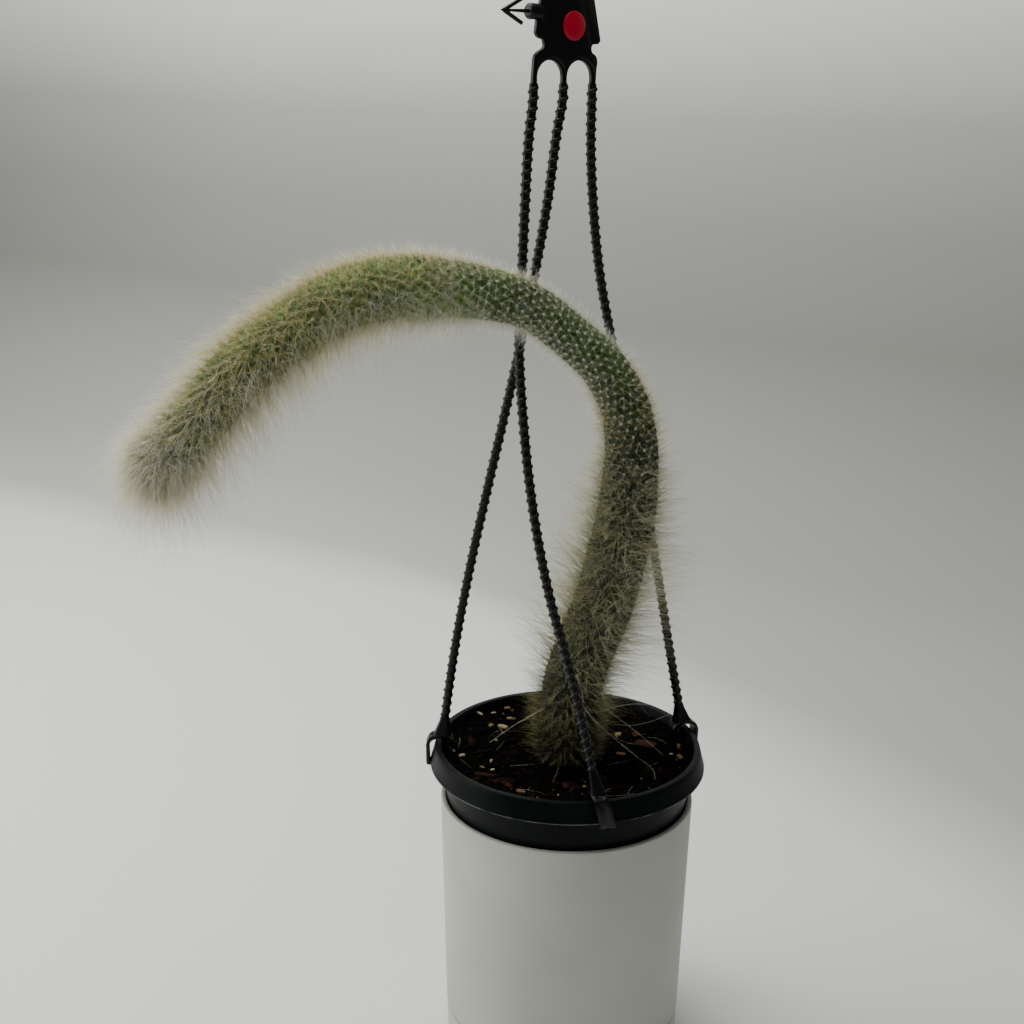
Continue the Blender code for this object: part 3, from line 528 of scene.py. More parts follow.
def make_black_pot():
    """The black pot with its rim ring and flared band."""
    rim_inside = RIM_RADIUS - RIM_WIDTH
    under_rim = RIM_TOP - POT_WALL
    floor_radius = pot_wall_radius(POT_FLOOR)
    neck = BAND_BOTTOM + 0.001
    pot = turned("black_hanging_pot", [
        (RIM_RADIUS, RIM_TOP),
        (RIM_RADIUS + 0.0009, RIM_TOP - 0.0034),
        (BAND_RADIUS - 0.0003, BAND_BOTTOM + 0.0016),
        (BAND_RADIUS, BAND_BOTTOM + 0.0012),
        (BAND_RADIUS, BAND_BOTTOM),
        (BAND_RADIUS - BAND_WALL, BAND_BOTTOM),
        (RIM_RADIUS - BAND_WALL, under_rim),
        (rim_inside + 0.0008, under_rim),
        (pot_wall_radius(neck), neck),
        (floor_radius + 0.0006, POT_FLOOR + 0.003),
        (floor_radius - 0.0015, POT_FLOOR),
        (DRAIN_RADIUS, POT_FLOOR),
        (DRAIN_RADIUS, POT_FLOOR + POT_WALL),
        (floor_radius - 0.0022, POT_FLOOR + POT_WALL),
        (pot_wall_radius(neck) - POT_WALL, neck),
        (rim_inside, RIM_TOP - 0.0004),
        (rim_inside + 0.0004, RIM_TOP),
        (RIM_RADIUS, RIM_TOP),
    ])
    bevel(pot, width=0.0004, segments=2, degrees=20)
    plastic = black_polypropylene("moulded black polypropylene pot", "#080c0d", "#12191a", 0.40, 0.08)
    # A painted highlight along the band's lower edge.
    paint_edge_highlight(plastic, EDGE_HIGHLIGHT_HEIGHT, "#7c8280")
    finish(pot, plastic, "black_pot_plastic", "black_pot")


make_black_pot()

# %% [markdown]
# ## The cactus stem
#
# A monkey tail cactus grows one long stem. Its skin is a close lattice of low
# tubercles in crossing spiral rows, and each tubercle carries an areole, a small
# woolly pad from which the spines grow. Here the stem is a grid rolled round the
# stem's route, and a formula raises the tubercles from it, so the lattice stays
# even where the stem bends.

# %% The route of the stem
# The middle of the stem from inside the soil to the tip: x, y, z and radius.
STEM_ROUTE = (
    (-0.0001, 0.0038, 0.1260, 0.0148),
    (-0.0001, 0.0038, 0.1370, 0.0148),
    (-0.0001, 0.0038, 0.1480, 0.0148),
    (0.0005, 0.0026, 0.1680, 0.0146),
    (0.0025, -0.0008, 0.1903, 0.0144),
    (0.0087, -0.0030, 0.2119, 0.0144),
    (0.0159, -0.0050, 0.2331, 0.0142),
    (0.0203, -0.0070, 0.2538, 0.0141),
    (0.0241, -0.0090, 0.2741, 0.0138),
    (0.0255, -0.0120, 0.2942, 0.0128),
    (0.0251, -0.0150, 0.3138, 0.0118),
    (0.0203, -0.0190, 0.3331, 0.0109),
    (0.0118, -0.0220, 0.3476, 0.0103),
    (-0.0048, -0.0270, 0.3636, 0.0097),
    (-0.0210, -0.0340, 0.3762, 0.0099),
    (-0.0406, -0.0450, 0.3837, 0.0109),
    (-0.0603, -0.0560, 0.3871, 0.0121),
    (-0.0753, -0.0660, 0.3885, 0.0125),
    (-0.1014, -0.0840, 0.3835, 0.0118),
    (-0.1185, -0.0970, 0.3731, 0.0114),
    (-0.1354, -0.1090, 0.3604, 0.0113),
    (-0.1486, -0.1190, 0.3446, 0.0110),
    (-0.1622, -0.1280, 0.3298, 0.0103),
)
SOIL_TOP = 0.1480
ROUTE_PIECES = 24
ROUTE_STEP = 0.0005


def unit(vectors):
    """Vectors drawn out to length one."""
    return vectors / np.maximum(np.linalg.norm(vectors, axis=-1, keepdims=True), 1e-9)


def speed_at(points, i):
    """Change of each value for each metre of route, at one of its points."""
    low = points[max(i - 1, 0)]
    here = points[i]
    high = points[min(i + 1, len(points) - 1)]
    before = math.dist(low[:3], here[:3])
    after = math.dist(here[:3], high[:3])
    if before == 0.0:
        return [(q - p) / after for p, q in zip(here, high)]
    if after == 0.0:
        return [(q - p) / before for p, q in zip(low, here)]
    return [((q - p) / before * after + (r - q) / after * before) / (before + after)
            for p, q, r in zip(low, here, high)]


def smooth_route(points, step):
    """Points at an even step along a smooth curve through the given ones."""
    dense = []
    for i in range(len(points) - 1):
        a, b = points[i], points[i + 1]
        va, vb = speed_at(points, i), speed_at(points, i + 1)
        span = math.dist(a[:3], b[:3])
        for k in range(ROUTE_PIECES):
            t = k / ROUTE_PIECES
            start = 2 * t ** 3 - 3 * t ** 2 + 1
            leave = (t ** 3 - 2 * t ** 2 + t) * span
            arrive = (t ** 3 - t ** 2) * span
            dense.append([start * p + leave * u + (1 - start) * q + arrive * v
                          for p, q, u, v in zip(a, b, va, vb)])
    dense = np.array([*dense, points[-1]])
    steps = np.linalg.norm(np.diff(dense[:, :3], axis=0), axis=1)
    lengths = np.concatenate([[0.0], np.cumsum(steps)])
    count = max(2, round(lengths[-1] / step))
    wanted = np.linspace(0.0, lengths[-1], count + 1)
    return np.array([np.interp(wanted, lengths, column) for column in dense.T]).T


class Route:
    """A smooth route with a frame at each of its points that doesn't twist."""

    def __init__(self, points, step):
        rows = smooth_route(points, step)
        self.places = rows[:, :3]
        self.values = rows[:, 3:]
        self.step = float(np.linalg.norm(rows[1, :3] - rows[0, :3]))
        self.length = self.step * (len(rows) - 1)
        self.ahead = unit(np.gradient(self.places, axis=0))
        side = np.array((1.0, 0.0, 0.0))
        sides = []
        for direction in self.ahead:
            side = unit(side - direction * side.dot(direction))
            sides.append(side)
        self.sides = np.array(sides)
        self.ups = np.cross(self.ahead, self.sides)

    def at(self, distance):
        """Place, direction, side, up and further values at distances along it."""
        index = np.clip(np.asarray(distance) / self.step, 0.0, len(self.places) - 1.001)
        low = index.astype(int)
        share = (index - low)[..., None]
        place, ahead, side, up, values = [
            table[low] * (1 - share) + table[low + 1] * share
            for table in (self.places, self.ahead, self.sides, self.ups, self.values)]
        return place, unit(ahead), unit(side), unit(up), values


def spokes(side, up, angle):
    """Directions across a route, turned by an angle from its side towards its up."""
    return side * np.cos(angle)[..., None] + up * np.sin(angle)[..., None]


stem = Route(STEM_ROUTE, ROUTE_STEP)
buried = float(np.argmax(stem.places[:, 2] > SOIL_TOP)) * stem.step
TIP_LENGTH = float(stem.values[-1, 0])
stem_length = stem.length + TIP_LENGTH
print(f"stem {1000 * (stem_length - buried):.0f} mm above the soil")

# %% [markdown]
# The tubercles form a lattice: `COLUMNS` of them round the stem, and each row is
# shifted by half a step against the last. The product of two cosines has its
# peaks in exactly this pattern. A slow twist turns the rows into spirals.

# %% Skin with tubercles
COLUMNS = 19
ROW_PITCH = 0.0075
TWIST = 5.0
TUBERCLE = 0.0009
TUBERCLE_SINK = 0.2
TUBERCLE_SHARPNESS = 0.8
TUBERCLE_FADE = 0.004
SKIN_SIDES = COLUMNS * 6
SKIN_STEP = ROW_PITCH / 6


def stem_place(distance, angle, lift):
    """Points lifted off the stem's skin, with their outward directions."""
    place, ahead, side, up, values = stem.at(np.minimum(distance, stem.length))
    past = np.clip((distance - stem.length) / TIP_LENGTH, 0.0, 1.0)[..., None]
    narrow = np.sqrt(1.0 - past ** 2)
    around = spokes(side, up, angle)
    outward = unit(around * narrow + ahead * past)
    point = place + ahead * past * TIP_LENGTH + around * (values * narrow)
    return point + outward * np.asarray(lift)[..., None], outward, ahead


def stem_coordinates(points):
    """Distance along the stem and angle round it, for points near its skin."""
    nearest = np.concatenate([
        np.argmin(((chunk[:, None, :] - stem.places[None, :, :]) ** 2).sum(2), axis=1)
        for chunk in np.array_split(points, max(1, len(points) // 2000))])
    offset = points - stem.places[nearest]
    past = (offset * stem.ahead[nearest]).sum(1)
    angle = np.arctan2((offset * stem.ups[nearest]).sum(1), (offset * stem.sides[nearest]).sum(1))
    return nearest * stem.step + past, angle


def share_of_stem(distance):
    """Share of the stem's length above the soil."""
    return (np.asarray(distance) - buried) / (stem_length - buried)


def lattice(distance, angle):
    """Height of the tubercles, from -1 in the valleys to 1 on the peaks."""
    wave = np.cos(COLUMNS * (angle + TWIST * distance)) * np.cos(2 * math.pi * distance / ROW_PITCH)
    return np.sign(wave) * np.abs(wave) ** TUBERCLE_SHARPNESS


def store(thing, name, values):
    """Keep one number for each point of a mesh."""
    attribute = thing.data.attributes.new(name, "FLOAT", "POINT")
    attribute.data.foreach_set("value", np.asarray(values, dtype=np.float32).ravel())


def make_skin():
    """Roll a grid round the route, raise the tubercles from it and close its foot."""
    rows = int(stem_length / SKIN_STEP)
    skin = added("cactus_stem", bpy.ops.mesh.primitive_grid_add,
                 x_subdivisions=SKIN_SIDES, y_subdivisions=rows, size=1.0)
    flat = points_of(skin) + 0.5
    distance = flat[:, 1] * stem_length
    angle = flat[:, 0] * 2 * math.pi
    fade = np.clip((stem_length - distance) / TUBERCLE_FADE, 0.0, 1.0)
    lift = TUBERCLE * (0.5 * lattice(distance, angle) - TUBERCLE_SINK) * fade
    skin.data.vertices.foreach_set("co", stem_place(distance, angle, lift)[0].ravel())
    close_up(skin, merge=0.00004)
    bpy.ops.object.mode_set(mode="EDIT")
    bpy.ops.mesh.select_all(action="DESELECT")
    bpy.ops.mesh.select_non_manifold()
    bpy.ops.mesh.edge_face_add()
    close_up(skin, merge=0.00002)
    return smooth(skin, degrees=80)


def mark_skin(skin):
    """Store how near each point is to a tubercle's top, and how far along the stem."""
    distance, angle = stem_coordinates(points_of(skin))
    store(skin, "crown", 0.5 + 0.5 * lattice(distance, angle))
    store(skin, "share", share_of_stem(distance))


def cactus_skin():
    """Waxy green cactus skin.

    The skin drifts between blue-green and olive over about 3 cm. Painted shade
    makes it deep green in the valleys, so the crown of each tubercle is lighter
    and yellower, and more painted shade darkens the lower stem towards the soil.
    """
    material, tree, shader = new_material("waxy cactus skin", "#43592c", 0.6, {"IOR": 1.4})
    place = add_node(tree, "TexCoord", "Object")
    drift = add_node(tree, "TexNoise", "Fac", {"Vector": place, "Scale": grain(30), "Detail": 3.0})
    spots = add_node(tree, "TexNoise", "Fac", {"Vector": place, "Scale": grain(1.6), "Detail": 3.0})
    mixed = add_node(tree, "Math", "Value", {0: spots, 1: 0.5, 2: drift}, operation="MULTIPLY_ADD")
    greens = [(0.55, "#3c5620"), (0.72, "#587a30"), (0.92, "#7fa24a")]
    tone = add_node(tree, "ValToRGB", "Color", {"Fac": mixed}, stops=greens)
    # Painted shade: the valleys between tubercles are darkened, and the crowns keep the lighter tone.
    dark = add_node(tree, "Mix", 2, {0: 1.0, 6: tone, 7: linear("#8f9a80")},
                    data_type="RGBA", blend_type="MULTIPLY")
    crown = add_node(tree, "Attribute", "Fac", attribute_name="crown")
    light = add_node(tree, "Mix", 2, {0: crown, 6: dark, 7: tone}, data_type="RGBA")
    share = add_node(tree, "Attribute", "Fac", attribute_name="share")
    # Painted shade: the lower stem is darkened towards the soil, most at its foot.
    stem_foot_shades = [(0.0, "#121610"), (0.08, "#202c1a"), (0.18, "#38522a"),
            (0.36, "#3e6034"), (0.44, "#8aa880"), (0.56, "#ffffff")]
    stem_foot_shade = add_node(tree, "ValToRGB", "Color", {"Fac": share}, stops=stem_foot_shades)
    foot_shaded = add_node(tree, "Mix", 2, {0: 1.0, 6: light, 7: stem_foot_shade}, data_type="RGBA", blend_type="MULTIPLY")
    bump = add_node(tree, "Bump", "Normal", {"Height": spots, "Strength": 0.3, "Distance": 0.0003})
    fill_sockets(shader, {"Base Color": foot_shaded, "Normal": bump})
    return material


skin = make_skin()
mark_skin(skin)
finish(skin, cactus_skin(), "cactus_skin_and_hair", "cactus")

# %% [markdown]
# Areoles sit on the tubercles. One woolly pad is modelled and copied to every
# peak of the lattice, turned to face outwards. The wool is cream on the upper
# stem, and browner at the base and towards the tip, where it is older or new.

# %% Areoles
AREOLE_RADIUS = 0.00060
AREOLE_LIFT = 0.0002
PAD_SHAPE = (1.2, 0.9, 0.55)
FIRST_AREOLE = buried + 0.003
TIP_RINGS = (0, 14, 28, 42, 56, 70, 84)
# Paleness of the wool along the stem: share of its length, shade.
WOOL_SHADES = ((0.0, 0.05), (0.2, 0.3), (0.38, 0.7), (0.55, 0.95), (0.75, 0.5), (1.0, 0.4))


def ring_of_spots(distance, count, first):
    """Places evenly round the stem, as (distance, angle)."""
    return [(distance, 2 * math.pi * i / count + first) for i in range(count)]


def areole_spots():
    """Distance and angle of every areole: the lattice's peaks, then rings over the tip."""
    spots = []
    for k in range(int(2 * stem.length / ROW_PITCH) + 1):
        distance = k * ROW_PITCH / 2
        if FIRST_AREOLE < distance < stem.length:
            offset = math.pi / COLUMNS if k % 2 else 0.0
            spots += ring_of_spots(distance, COLUMNS, offset - TWIST * distance)
    for k, degrees in enumerate(TIP_RINGS):
        distance = stem.length + TIP_LENGTH * math.sin(math.radians(degrees))
        spots += ring_of_spots(distance, max(4, round(COLUMNS * math.cos(math.radians(degrees)))), 0.5 * k)
    return np.array(spots)


def fill_mesh(name, points, model):
    """One mesh of many copies of a model; points is copies x vertices x 3."""
    corners = [np.array(face.vertices) for face in model.data.polygons]
    sizes = np.array([len(face) for face in corners])
    loops = np.concatenate(corners)
    count, each, _ = points.shape
    number = np.arange(count)[:, None]
    starts = np.concatenate([[0], np.cumsum(sizes)[:-1]])
    mesh = bpy.data.meshes.new(name)
    mesh.vertices.add(count * each)
    mesh.vertices.foreach_set("co", points.astype(np.float32).ravel())
    mesh.loops.add(count * len(loops))
    mesh.loops.foreach_set("vertex_index", (loops + number * each).ravel().astype(np.int32))
    mesh.polygons.add(count * len(corners))
    mesh.polygons.foreach_set("loop_start", (starts + number * len(loops)).ravel().astype(np.int32))
    mesh.update(calc_edges=True)
    thing = bpy.data.objects.new(name, mesh)
    bpy.context.scene.collection.objects.link(thing)
    return thing


def copies(name, model, places, bases, sizes):
    """Copy a modelled shape many times into one mesh.

    bases holds three axes for each copy, as rows, and sizes one number or three.
    """
    scaled = points_of(model)[None, :, :] * np.asarray(sizes).reshape(len(places), 1, -1)
    points = np.einsum("nvk,nkj->nvj", scaled, bases) + places[:, None, :]
    return fill_mesh(name, points, model)


def outward_bases(outward, ahead):
    """Axes for copies whose Z faces outwards and whose X runs along the stem."""
    x_axis = unit(ahead - outward * (ahead * outward).sum(-1, keepdims=True))
    return np.stack([x_axis, np.cross(outward, x_axis), outward], axis=1)


def model_pad():
    """One woolly pad: a flattened ball, pulled out a little along the stem."""
    pad = added("pad", bpy.ops.mesh.primitive_ico_sphere_add, subdivisions=1, radius=1.0)
    edit_all()
    bpy.ops.transform.resize(value=PAD_SHAPE)
    bpy.ops.object.mode_set(mode="OBJECT")
    return pad


def areole_wool():
    """Short felted wool: soft, cream where it is fresh and brown where it is old."""
    material, tree, shader = new_material("areole wool", "#cfc7a6", 0.95, {"Specular IOR Level": 0.2})
    shade = add_node(tree, "Attribute", "Fac", attribute_name="shade")
    wools = [(0.0, "#6b5028"), (0.5, "#b09a5c"), (1.0, "#dedabf")]
    fill_sockets(shader, {"Base Color": add_node(tree, "ValToRGB", "Color", {"Fac": shade}, stops=wools)})
    return material


def along(distance, stops):
    """Value along the stem: one number, or (share of its length, value) stops."""
    shares, values = zip(*stops) if np.ndim(stops) else ((0.0,), (stops,))
    return np.interp(share_of_stem(distance), shares, values)


spots = areole_spots()
spot_distance = spots[:, 0]
spot_place, spot_out, spot_ahead = stem_place(spot_distance, spots[:, 1], np.full(len(spots), AREOLE_LIFT))
chance = np.random.default_rng(7)


def make_areoles():
    """Pads on all the tubercles, in one piece."""
    pad = model_pad()
    size = AREOLE_RADIUS * chance.uniform(0.8, 1.2, len(spots))
    wool = copies("areoles", pad, spot_place, outward_bases(spot_out, spot_ahead), size)
    shade = along(spot_distance, WOOL_SHADES) + chance.normal(0.0, 0.15, len(spots))
    store(wool, "shade", np.repeat(np.clip(shade, 0.0, 1.0), len(pad.data.vertices)))
    discard(pad)
    smooth(wool, degrees=180)
    finish(wool, areole_wool(), "cactus_skin_and_hair")


make_areoles()
print(len(spots), "areoles")

# %% [markdown]
# ## Hair
#
# The hair makes this plant. Every areole grows a ring of fine bristles that lie
# close to the skin and cross those of its neighbours, and a few long hairs that
# stand out from the stem, lean towards its tip and hang where it hangs. They
# are short and white round the upper bend, long and tan near the soil, and
# dense, golden and cream on the hanging tail.
#
# Hair curves would be lost in an export, so each hair is a slim closed mesh with
# three sides. One hair is modelled by extruding a triangle and drawing its end
# together, and the copies are bent, one by one, by a formula.

# %% Modelling a hair
HAIR_TAPER = 0.7


def model_hair(rings):
    """A straight hair of unit length and width, with a number of bends."""
    hair = added("hair", bpy.ops.mesh.primitive_circle_add, vertices=3, radius=1.0, fill_type="NGON")
    edit_all()
    for ring in range(1, rings + 1):
        bpy.ops.mesh.extrude_region_move(TRANSFORM_OT_translate={"value": (0.0, 0.0, 1.0 / rings)})
        if ring < rings:
            left = 1.0 - HAIR_TAPER * ring / rings
            before = 1.0 - HAIR_TAPER * (ring - 1) / rings
            bpy.ops.transform.resize(value=(left / before, left / before, 1.0))
    bpy.ops.mesh.merge(type="CENTER")
    return close_up(hair)


def hair_lines(roots, ways, bends, lengths, t):
    """Points along each hair, with t from 0 at its root to 1 at its tip."""
    t = t[None, :, None]
    return roots[:, None, :] + (ways[:, None, :] * t + bends[:, None, :] * t ** 2) * lengths[:, None, None]


def plant(name, rings, roots, ways, bends, lengths, widths, shades):
    """Bend a copy of a hair at each root, and store its paleness and its t."""
    model = model_hair(rings)
    shape = points_of(model)
    helper = np.where(np.abs(ways[:, 2:3]) < 0.9, [[0.0, 0.0, 1.0]], [[1.0, 0.0, 0.0]])
    u = unit(np.cross(ways, helper))
    v = np.cross(ways, u)
    across = shape[:, 0][None, :, None] * u[:, None, :] + shape[:, 1][None, :, None] * v[:, None, :]
    line = hair_lines(roots, ways, bends, lengths, shape[:, 2])
    fur = fill_mesh(name, line + across * widths[:, None, None], model)
    discard(model)
    store(fur, "shade", np.repeat(shades, len(shape)))
    store(fur, "out", np.tile(shape[:, 2], len(roots)))
    return fur


# %% [markdown]
# The strands of the hanger pass close to the stem, so the hairs stop short of
# them, as they are pushed aside on the real plant. The strands' routes come
# first for that reason; the strands themselves are modelled further on.

# %% Routes of the strands
FAN_LENGTH = 0.0105
FAN_RADIUS = 0.0615
FAN_BASE = 0.1602
ROD_IN_FAN = 0.002
LEG_BELOW_HEAD = 0.004
HEAD_TURN = math.radians(39)
HEAD_CENTRE = np.array((-0.0084, 0.0, 0.4686))
HEAD_RIGHT = np.array((math.cos(HEAD_TURN), math.sin(HEAD_TURN), 0.0))
LEG_SPACING = 0.0168

# Each strand: which leg of the head it hangs from, the direction of its clip
# round the rim, the clip's lean along the rim, and the route from the top down.
STRANDS = {
    "strand_front": (-1, -76.4, -0.24, (
        (-0.0229, -0.0112, 0.4500),
        (-0.0244, -0.0130, 0.4202),
        (-0.0254, -0.0144, 0.3896),
        (-0.0263, -0.0193, 0.3589),
        (-0.0237, -0.0295, 0.3213),
        (-0.0201, -0.0367, 0.2920),
        (-0.0148, -0.0423, 0.2630),
        (-0.0101, -0.0455, 0.2434),
        (-0.0051, -0.0482, 0.2264),
        (0.0030, -0.0530, 0.1959),
    )),
    "strand_left": (0, 180.0, 0.0, (
        (-0.0106, 0.0005, 0.4500),
        (-0.0142, 0.0006, 0.4200),
        (-0.0199, 0.0006, 0.3850),
        (-0.0265, 0.0006, 0.3500),
        (-0.0331, 0.0006, 0.3189),
        (-0.0409, 0.0005, 0.2828),
        (-0.0486, 0.0004, 0.2455),
        (-0.0549, 0.0003, 0.2098),
        (-0.0586, 0.0001, 0.1837),
    )),
    "strand_right": (1, 19.0, 0.0, (
        (0.0047, 0.0111, 0.4449),
        (0.0063, 0.0116, 0.4186),
        (0.0106, 0.0124, 0.3841),
        (0.0161, 0.0132, 0.3576),
        (0.0302, 0.0148, 0.3000),
        (0.0429, 0.0170, 0.2390),
        (0.0507, 0.0186, 0.1977),
    )),
}


def strand_end(name):
    """Where a strand meets the rim: its fan's base, the way up it, and outwards."""
    _, azimuth, lean, points = STRANDS[name]
    angle = math.radians(azimuth)
    outward = np.array((math.cos(angle), math.sin(angle), 0.0))
    sideways = np.array((-outward[1], outward[0], 0.0))
    base = outward * FAN_RADIUS + sideways * lean * (FAN_BASE - BAND_BOTTOM) + (0.0, 0.0, FAN_BASE)
    return base, unit(np.array(points[-1]) - base), outward


def strand_points(name):
    """The points of a strand's route, from its fan up to the head's leg."""
    leg, _, _, points = STRANDS[name]
    top = HEAD_CENTRE + HEAD_RIGHT * leg * LEG_SPACING - (0.0, 0.0, TOUCH_GAP)
    base, way, _ = strand_end(name)
    fan_top = base + way * FAN_LENGTH
    ends = fan_top - way * ROD_IN_FAN, fan_top, top - (0.0, 0.0, LEG_BELOW_HEAD), top
    return [tuple(p) for p in (*ends[:2], *reversed(points), *ends[2:])]


# Points every 2 mm along the strands, which the hair keeps clear of.
strand_lines = np.concatenate([smooth_route(strand_points(name), 0.002)[:, :3] for name in STRANDS])

# %% [markdown]
# Hairs keep clear of three things: the strands, the soil, and the box of the
# solids, which a hair may leave by a small share of the box at most.

# %% Room for the hair
STRAND_CLEARANCE = 0.0027
BOX_ROOM = 0.028
SHORTENINGS = 4
SHORTER = 0.72
POINTS_TESTED = 8
HAIRS_AT_ONCE = 2000
SOIL_LEVEL_RADIUS = 0.036
SOIL_EDGE_RADIUS = 0.0606
SOIL_EDGE_RISE = 0.0048
RIM_OVER_SOIL = 0.0055
low_corner, high_corner = np.array(cad_box)
room = (high_corner - low_corner) * BOX_ROOM


def soil_rise(x, y):
    """How far the soil is heaped: 0 round the stem, 1 at the pot's wall."""
    share = (np.hypot(x, y) - SOIL_LEVEL_RADIUS) / (SOIL_EDGE_RADIUS - SOIL_LEVEL_RADIUS)
    share = np.clip(share, 0.0, 1.0)
    return share ** 2 * (3 - 2 * share)


def soil_surface(points):
    """Height of the heaped soil under points, or of the pot's rim beyond it."""
    rise = soil_rise(points[:, 0], points[:, 1])
    return SOIL_TOP + SOIL_EDGE_RISE * rise + RIM_OVER_SOIL * (rise >= 1.0)


def shorten(roots, ways, bends, lengths):
    """Shorten the hairs that would touch a strand or leave the part's box."""
    for _ in range(SHORTENINGS):
        points = hair_lines(roots, ways, bends, lengths, np.linspace(0.15, 1.0, POINTS_TESTED))
        outside = ((points < low_corner - room) | (points > high_corner + room)).any(axis=(1, 2))
        near = np.zeros(len(roots), dtype=bool)
        for start in range(0, len(roots), HAIRS_AT_ONCE):
            some = slice(start, start + HAIRS_AT_ONCE)
            part = points[some].reshape(-1, 1, 3)
            gap = ((part - strand_lines[None, :, :]) ** 2).sum(2).min(1).reshape(-1, POINTS_TESTED)
            near[some] = (gap < STRAND_CLEARANCE ** 2).any(axis=1)
        lengths = np.where(outside | near, lengths * SHORTER, lengths)
    return lengths


def held_back(roots, ways, bends, lengths):
    """Bend the hairs that would leave the part's box back along its side."""
    tips = roots + (ways + bends) * lengths[:, None]
    slack = room * chance.uniform(0.2, 1.0, (len(roots), 1))
    over = np.maximum(0.0, tips - high_corner - slack) + np.minimum(0.0, tips - low_corner + slack)
    return bends - over / lengths[:, None]


# %% [markdown]
# Fresh hairs are hollow and translucent, so they take on light from behind, and
# their faint down gives them a pale sheen. Old ones, on the lower stem, are
# dull and dusty. The colour runs from golden brown to white from hair to hair.

# %% Hair finishes
FRESH = {
    "Specular IOR Level": 0.2,
    "Subsurface Weight": 1.0,
    "Subsurface Radius": (1.0, 0.9, 0.7),
    "Subsurface Scale": 0.0002,
    "Sheen Weight": 0.3,
    "Sheen Roughness": 0.5,
    "Sheen Tint": (1.0, 0.94, 0.70, 1.0),
}
FRESH_TONES = ((0.0, "#54461c"), (0.25, "#a58d3c"), (0.5, "#d6c270"), (0.75, "#ebe1b0"), (1.0, "#f7f5ea"))
OLD = {"Specular IOR Level": 0.1}
OLD_TONES = ((0.0, "#1e1e12"), (0.25, "#66663a"), (0.5, "#b2b078"), (0.75, "#dcdab2"), (1.0, "#f2f1dc"))


def cactus_hair(name, sockets, tones):
    """Dry hair-like spines, each a little darker at its root."""
    material, tree, shader = new_material(name, "#ddd6b4", 0.55, sockets)
    shade = add_node(tree, "Attribute", "Fac", attribute_name="shade")
    tone = add_node(tree, "ValToRGB", "Color", {"Fac": shade}, stops=tones)
    out = add_node(tree, "Attribute", "Fac", attribute_name="out")
    root = add_node(tree, "MapRange", "Result",
                    {"Value": out, "From Max": 0.4, "To Min": 0.7, "To Max": 1.0})
    dark = add_node(tree, "Mix", 2, {0: 1.0, 6: tone, 7: root}, data_type="RGBA", blend_type="MULTIPLY")
    fill_sockets(shader, {"Base Color": dark})
    return material


fresh_hair = cactus_hair("fresh translucent hair", FRESH, FRESH_TONES)
old_hair = cactus_hair("old dusty hair", OLD, OLD_TONES)

# %% [markdown]
# Nine sets of hair are grown, each between two shares of the stem's length. The
# sets overlap at their ends, so that no edge shows. All the hairs of an areole
# are turned a little together, which gives tufts, and each differs a little in
# splay, length, width and paleness by seeded draws.

# %% Growing hair from the areoles
HAIR_SOIL_GAP = 0.0012
TUFT_TURN = 0.16
ROOT_SPREAD = 0.0007
SPLAY_DRAW = (0.3, 1.0)
LENGTH_DRAW = (0.5, 1.2)
WIDTH_DRAW = (0.7, 1.2)
SHADE_DRAW = 0.14
# Stops along the stem: how much longer the hairs below it may grow, how much
# more golden its upper side is, and how much darker it is at its left.
LONGER_BELOW = ((0.45, 0.0), (0.65, 1.0))
GOLDEN_ABOVE = ((0.5, 0.0), (0.7, 0.30), (0.85, 0.30), (0.97, 0.0))
DARK_LEFT = ((0.34, 0.22), (0.42, 0.0))
spot_share = share_of_stem(spot_distance)


def grow(name, rings, limits, count, stand, spread, lean, droop, curl, length, width, tone, under=0.0,
         material=fresh_hair):
    """Grow hairs from the areoles between two shares of the stem's length.

    count is hairs for each areole; stand and spread set how far they stand off
    and splay; under makes those below the stem longer. The others are numbers
    or stops along the stem: how far they point to the tip, how far they hang,
    how unevenly they bend, how long they are and how pale.
    """
    chosen = np.flatnonzero((spot_share >= limits[0]) & (spot_share < limits[1]))
    picks = np.repeat(chosen, count)
    many = len(picks)
    distance = spot_distance[picks]
    outward, ahead = spot_out[picks], spot_ahead[picks]
    bases = outward_bases(outward, ahead)
    turn = np.tile(np.arange(count), len(chosen)) * 2 * math.pi / count + chance.uniform(0, 2 * math.pi, many)
    splay = spokes(bases[:, 0], bases[:, 1], turn)
    ways = outward * stand + splay * (spread * chance.uniform(*SPLAY_DRAW, many))[:, None]
    ways = ways + ahead * along(distance, lean)[:, None]
    ways = unit(ways + np.repeat(chance.normal(0.0, TUFT_TURN, (len(chosen), 3)), count, axis=0))
    bends = chance.normal(0.0, 1.0, (many, 3)) * along(distance, curl)[:, None]
    bends[:, 2] -= along(distance, droop)
    below = np.clip(-outward[:, 2], 0.0, 1.0) * along(distance, LONGER_BELOW)
    lengths = along(distance, length) * chance.uniform(*LENGTH_DRAW, many) * (1.0 + under * below)
    roots = spot_place[picks] + splay * chance.uniform(0.0, ROOT_SPREAD, many)[:, None]
    bends = held_back(roots, ways, bends, lengths)
    lengths = shorten(roots, ways, bends, lengths)
    tips = roots + (ways + bends) * lengths[:, None]
    floor = soil_surface(tips) + HAIR_SOIL_GAP + chance.uniform(0.0, 0.002, many)
    bends[:, 2] += np.maximum(0.0, floor - tips[:, 2]) / lengths
    shades = along(distance, tone) + chance.normal(0.0, SHADE_DRAW, many)
    shades -= np.clip(outward[:, 2], 0.0, 1.0) * along(distance, GOLDEN_ABOVE)
    shades -= np.clip(-outward[:, 0], 0.0, 1.0) * along(distance, DARK_LEFT)
    widths = width * chance.uniform(*WIDTH_DRAW, many)
    fur = plant(name, rings, roots, ways, bends, lengths, widths, np.clip(shades, 0.0, 1.0))
    finish(fur, material, "cactus_skin_and_hair")
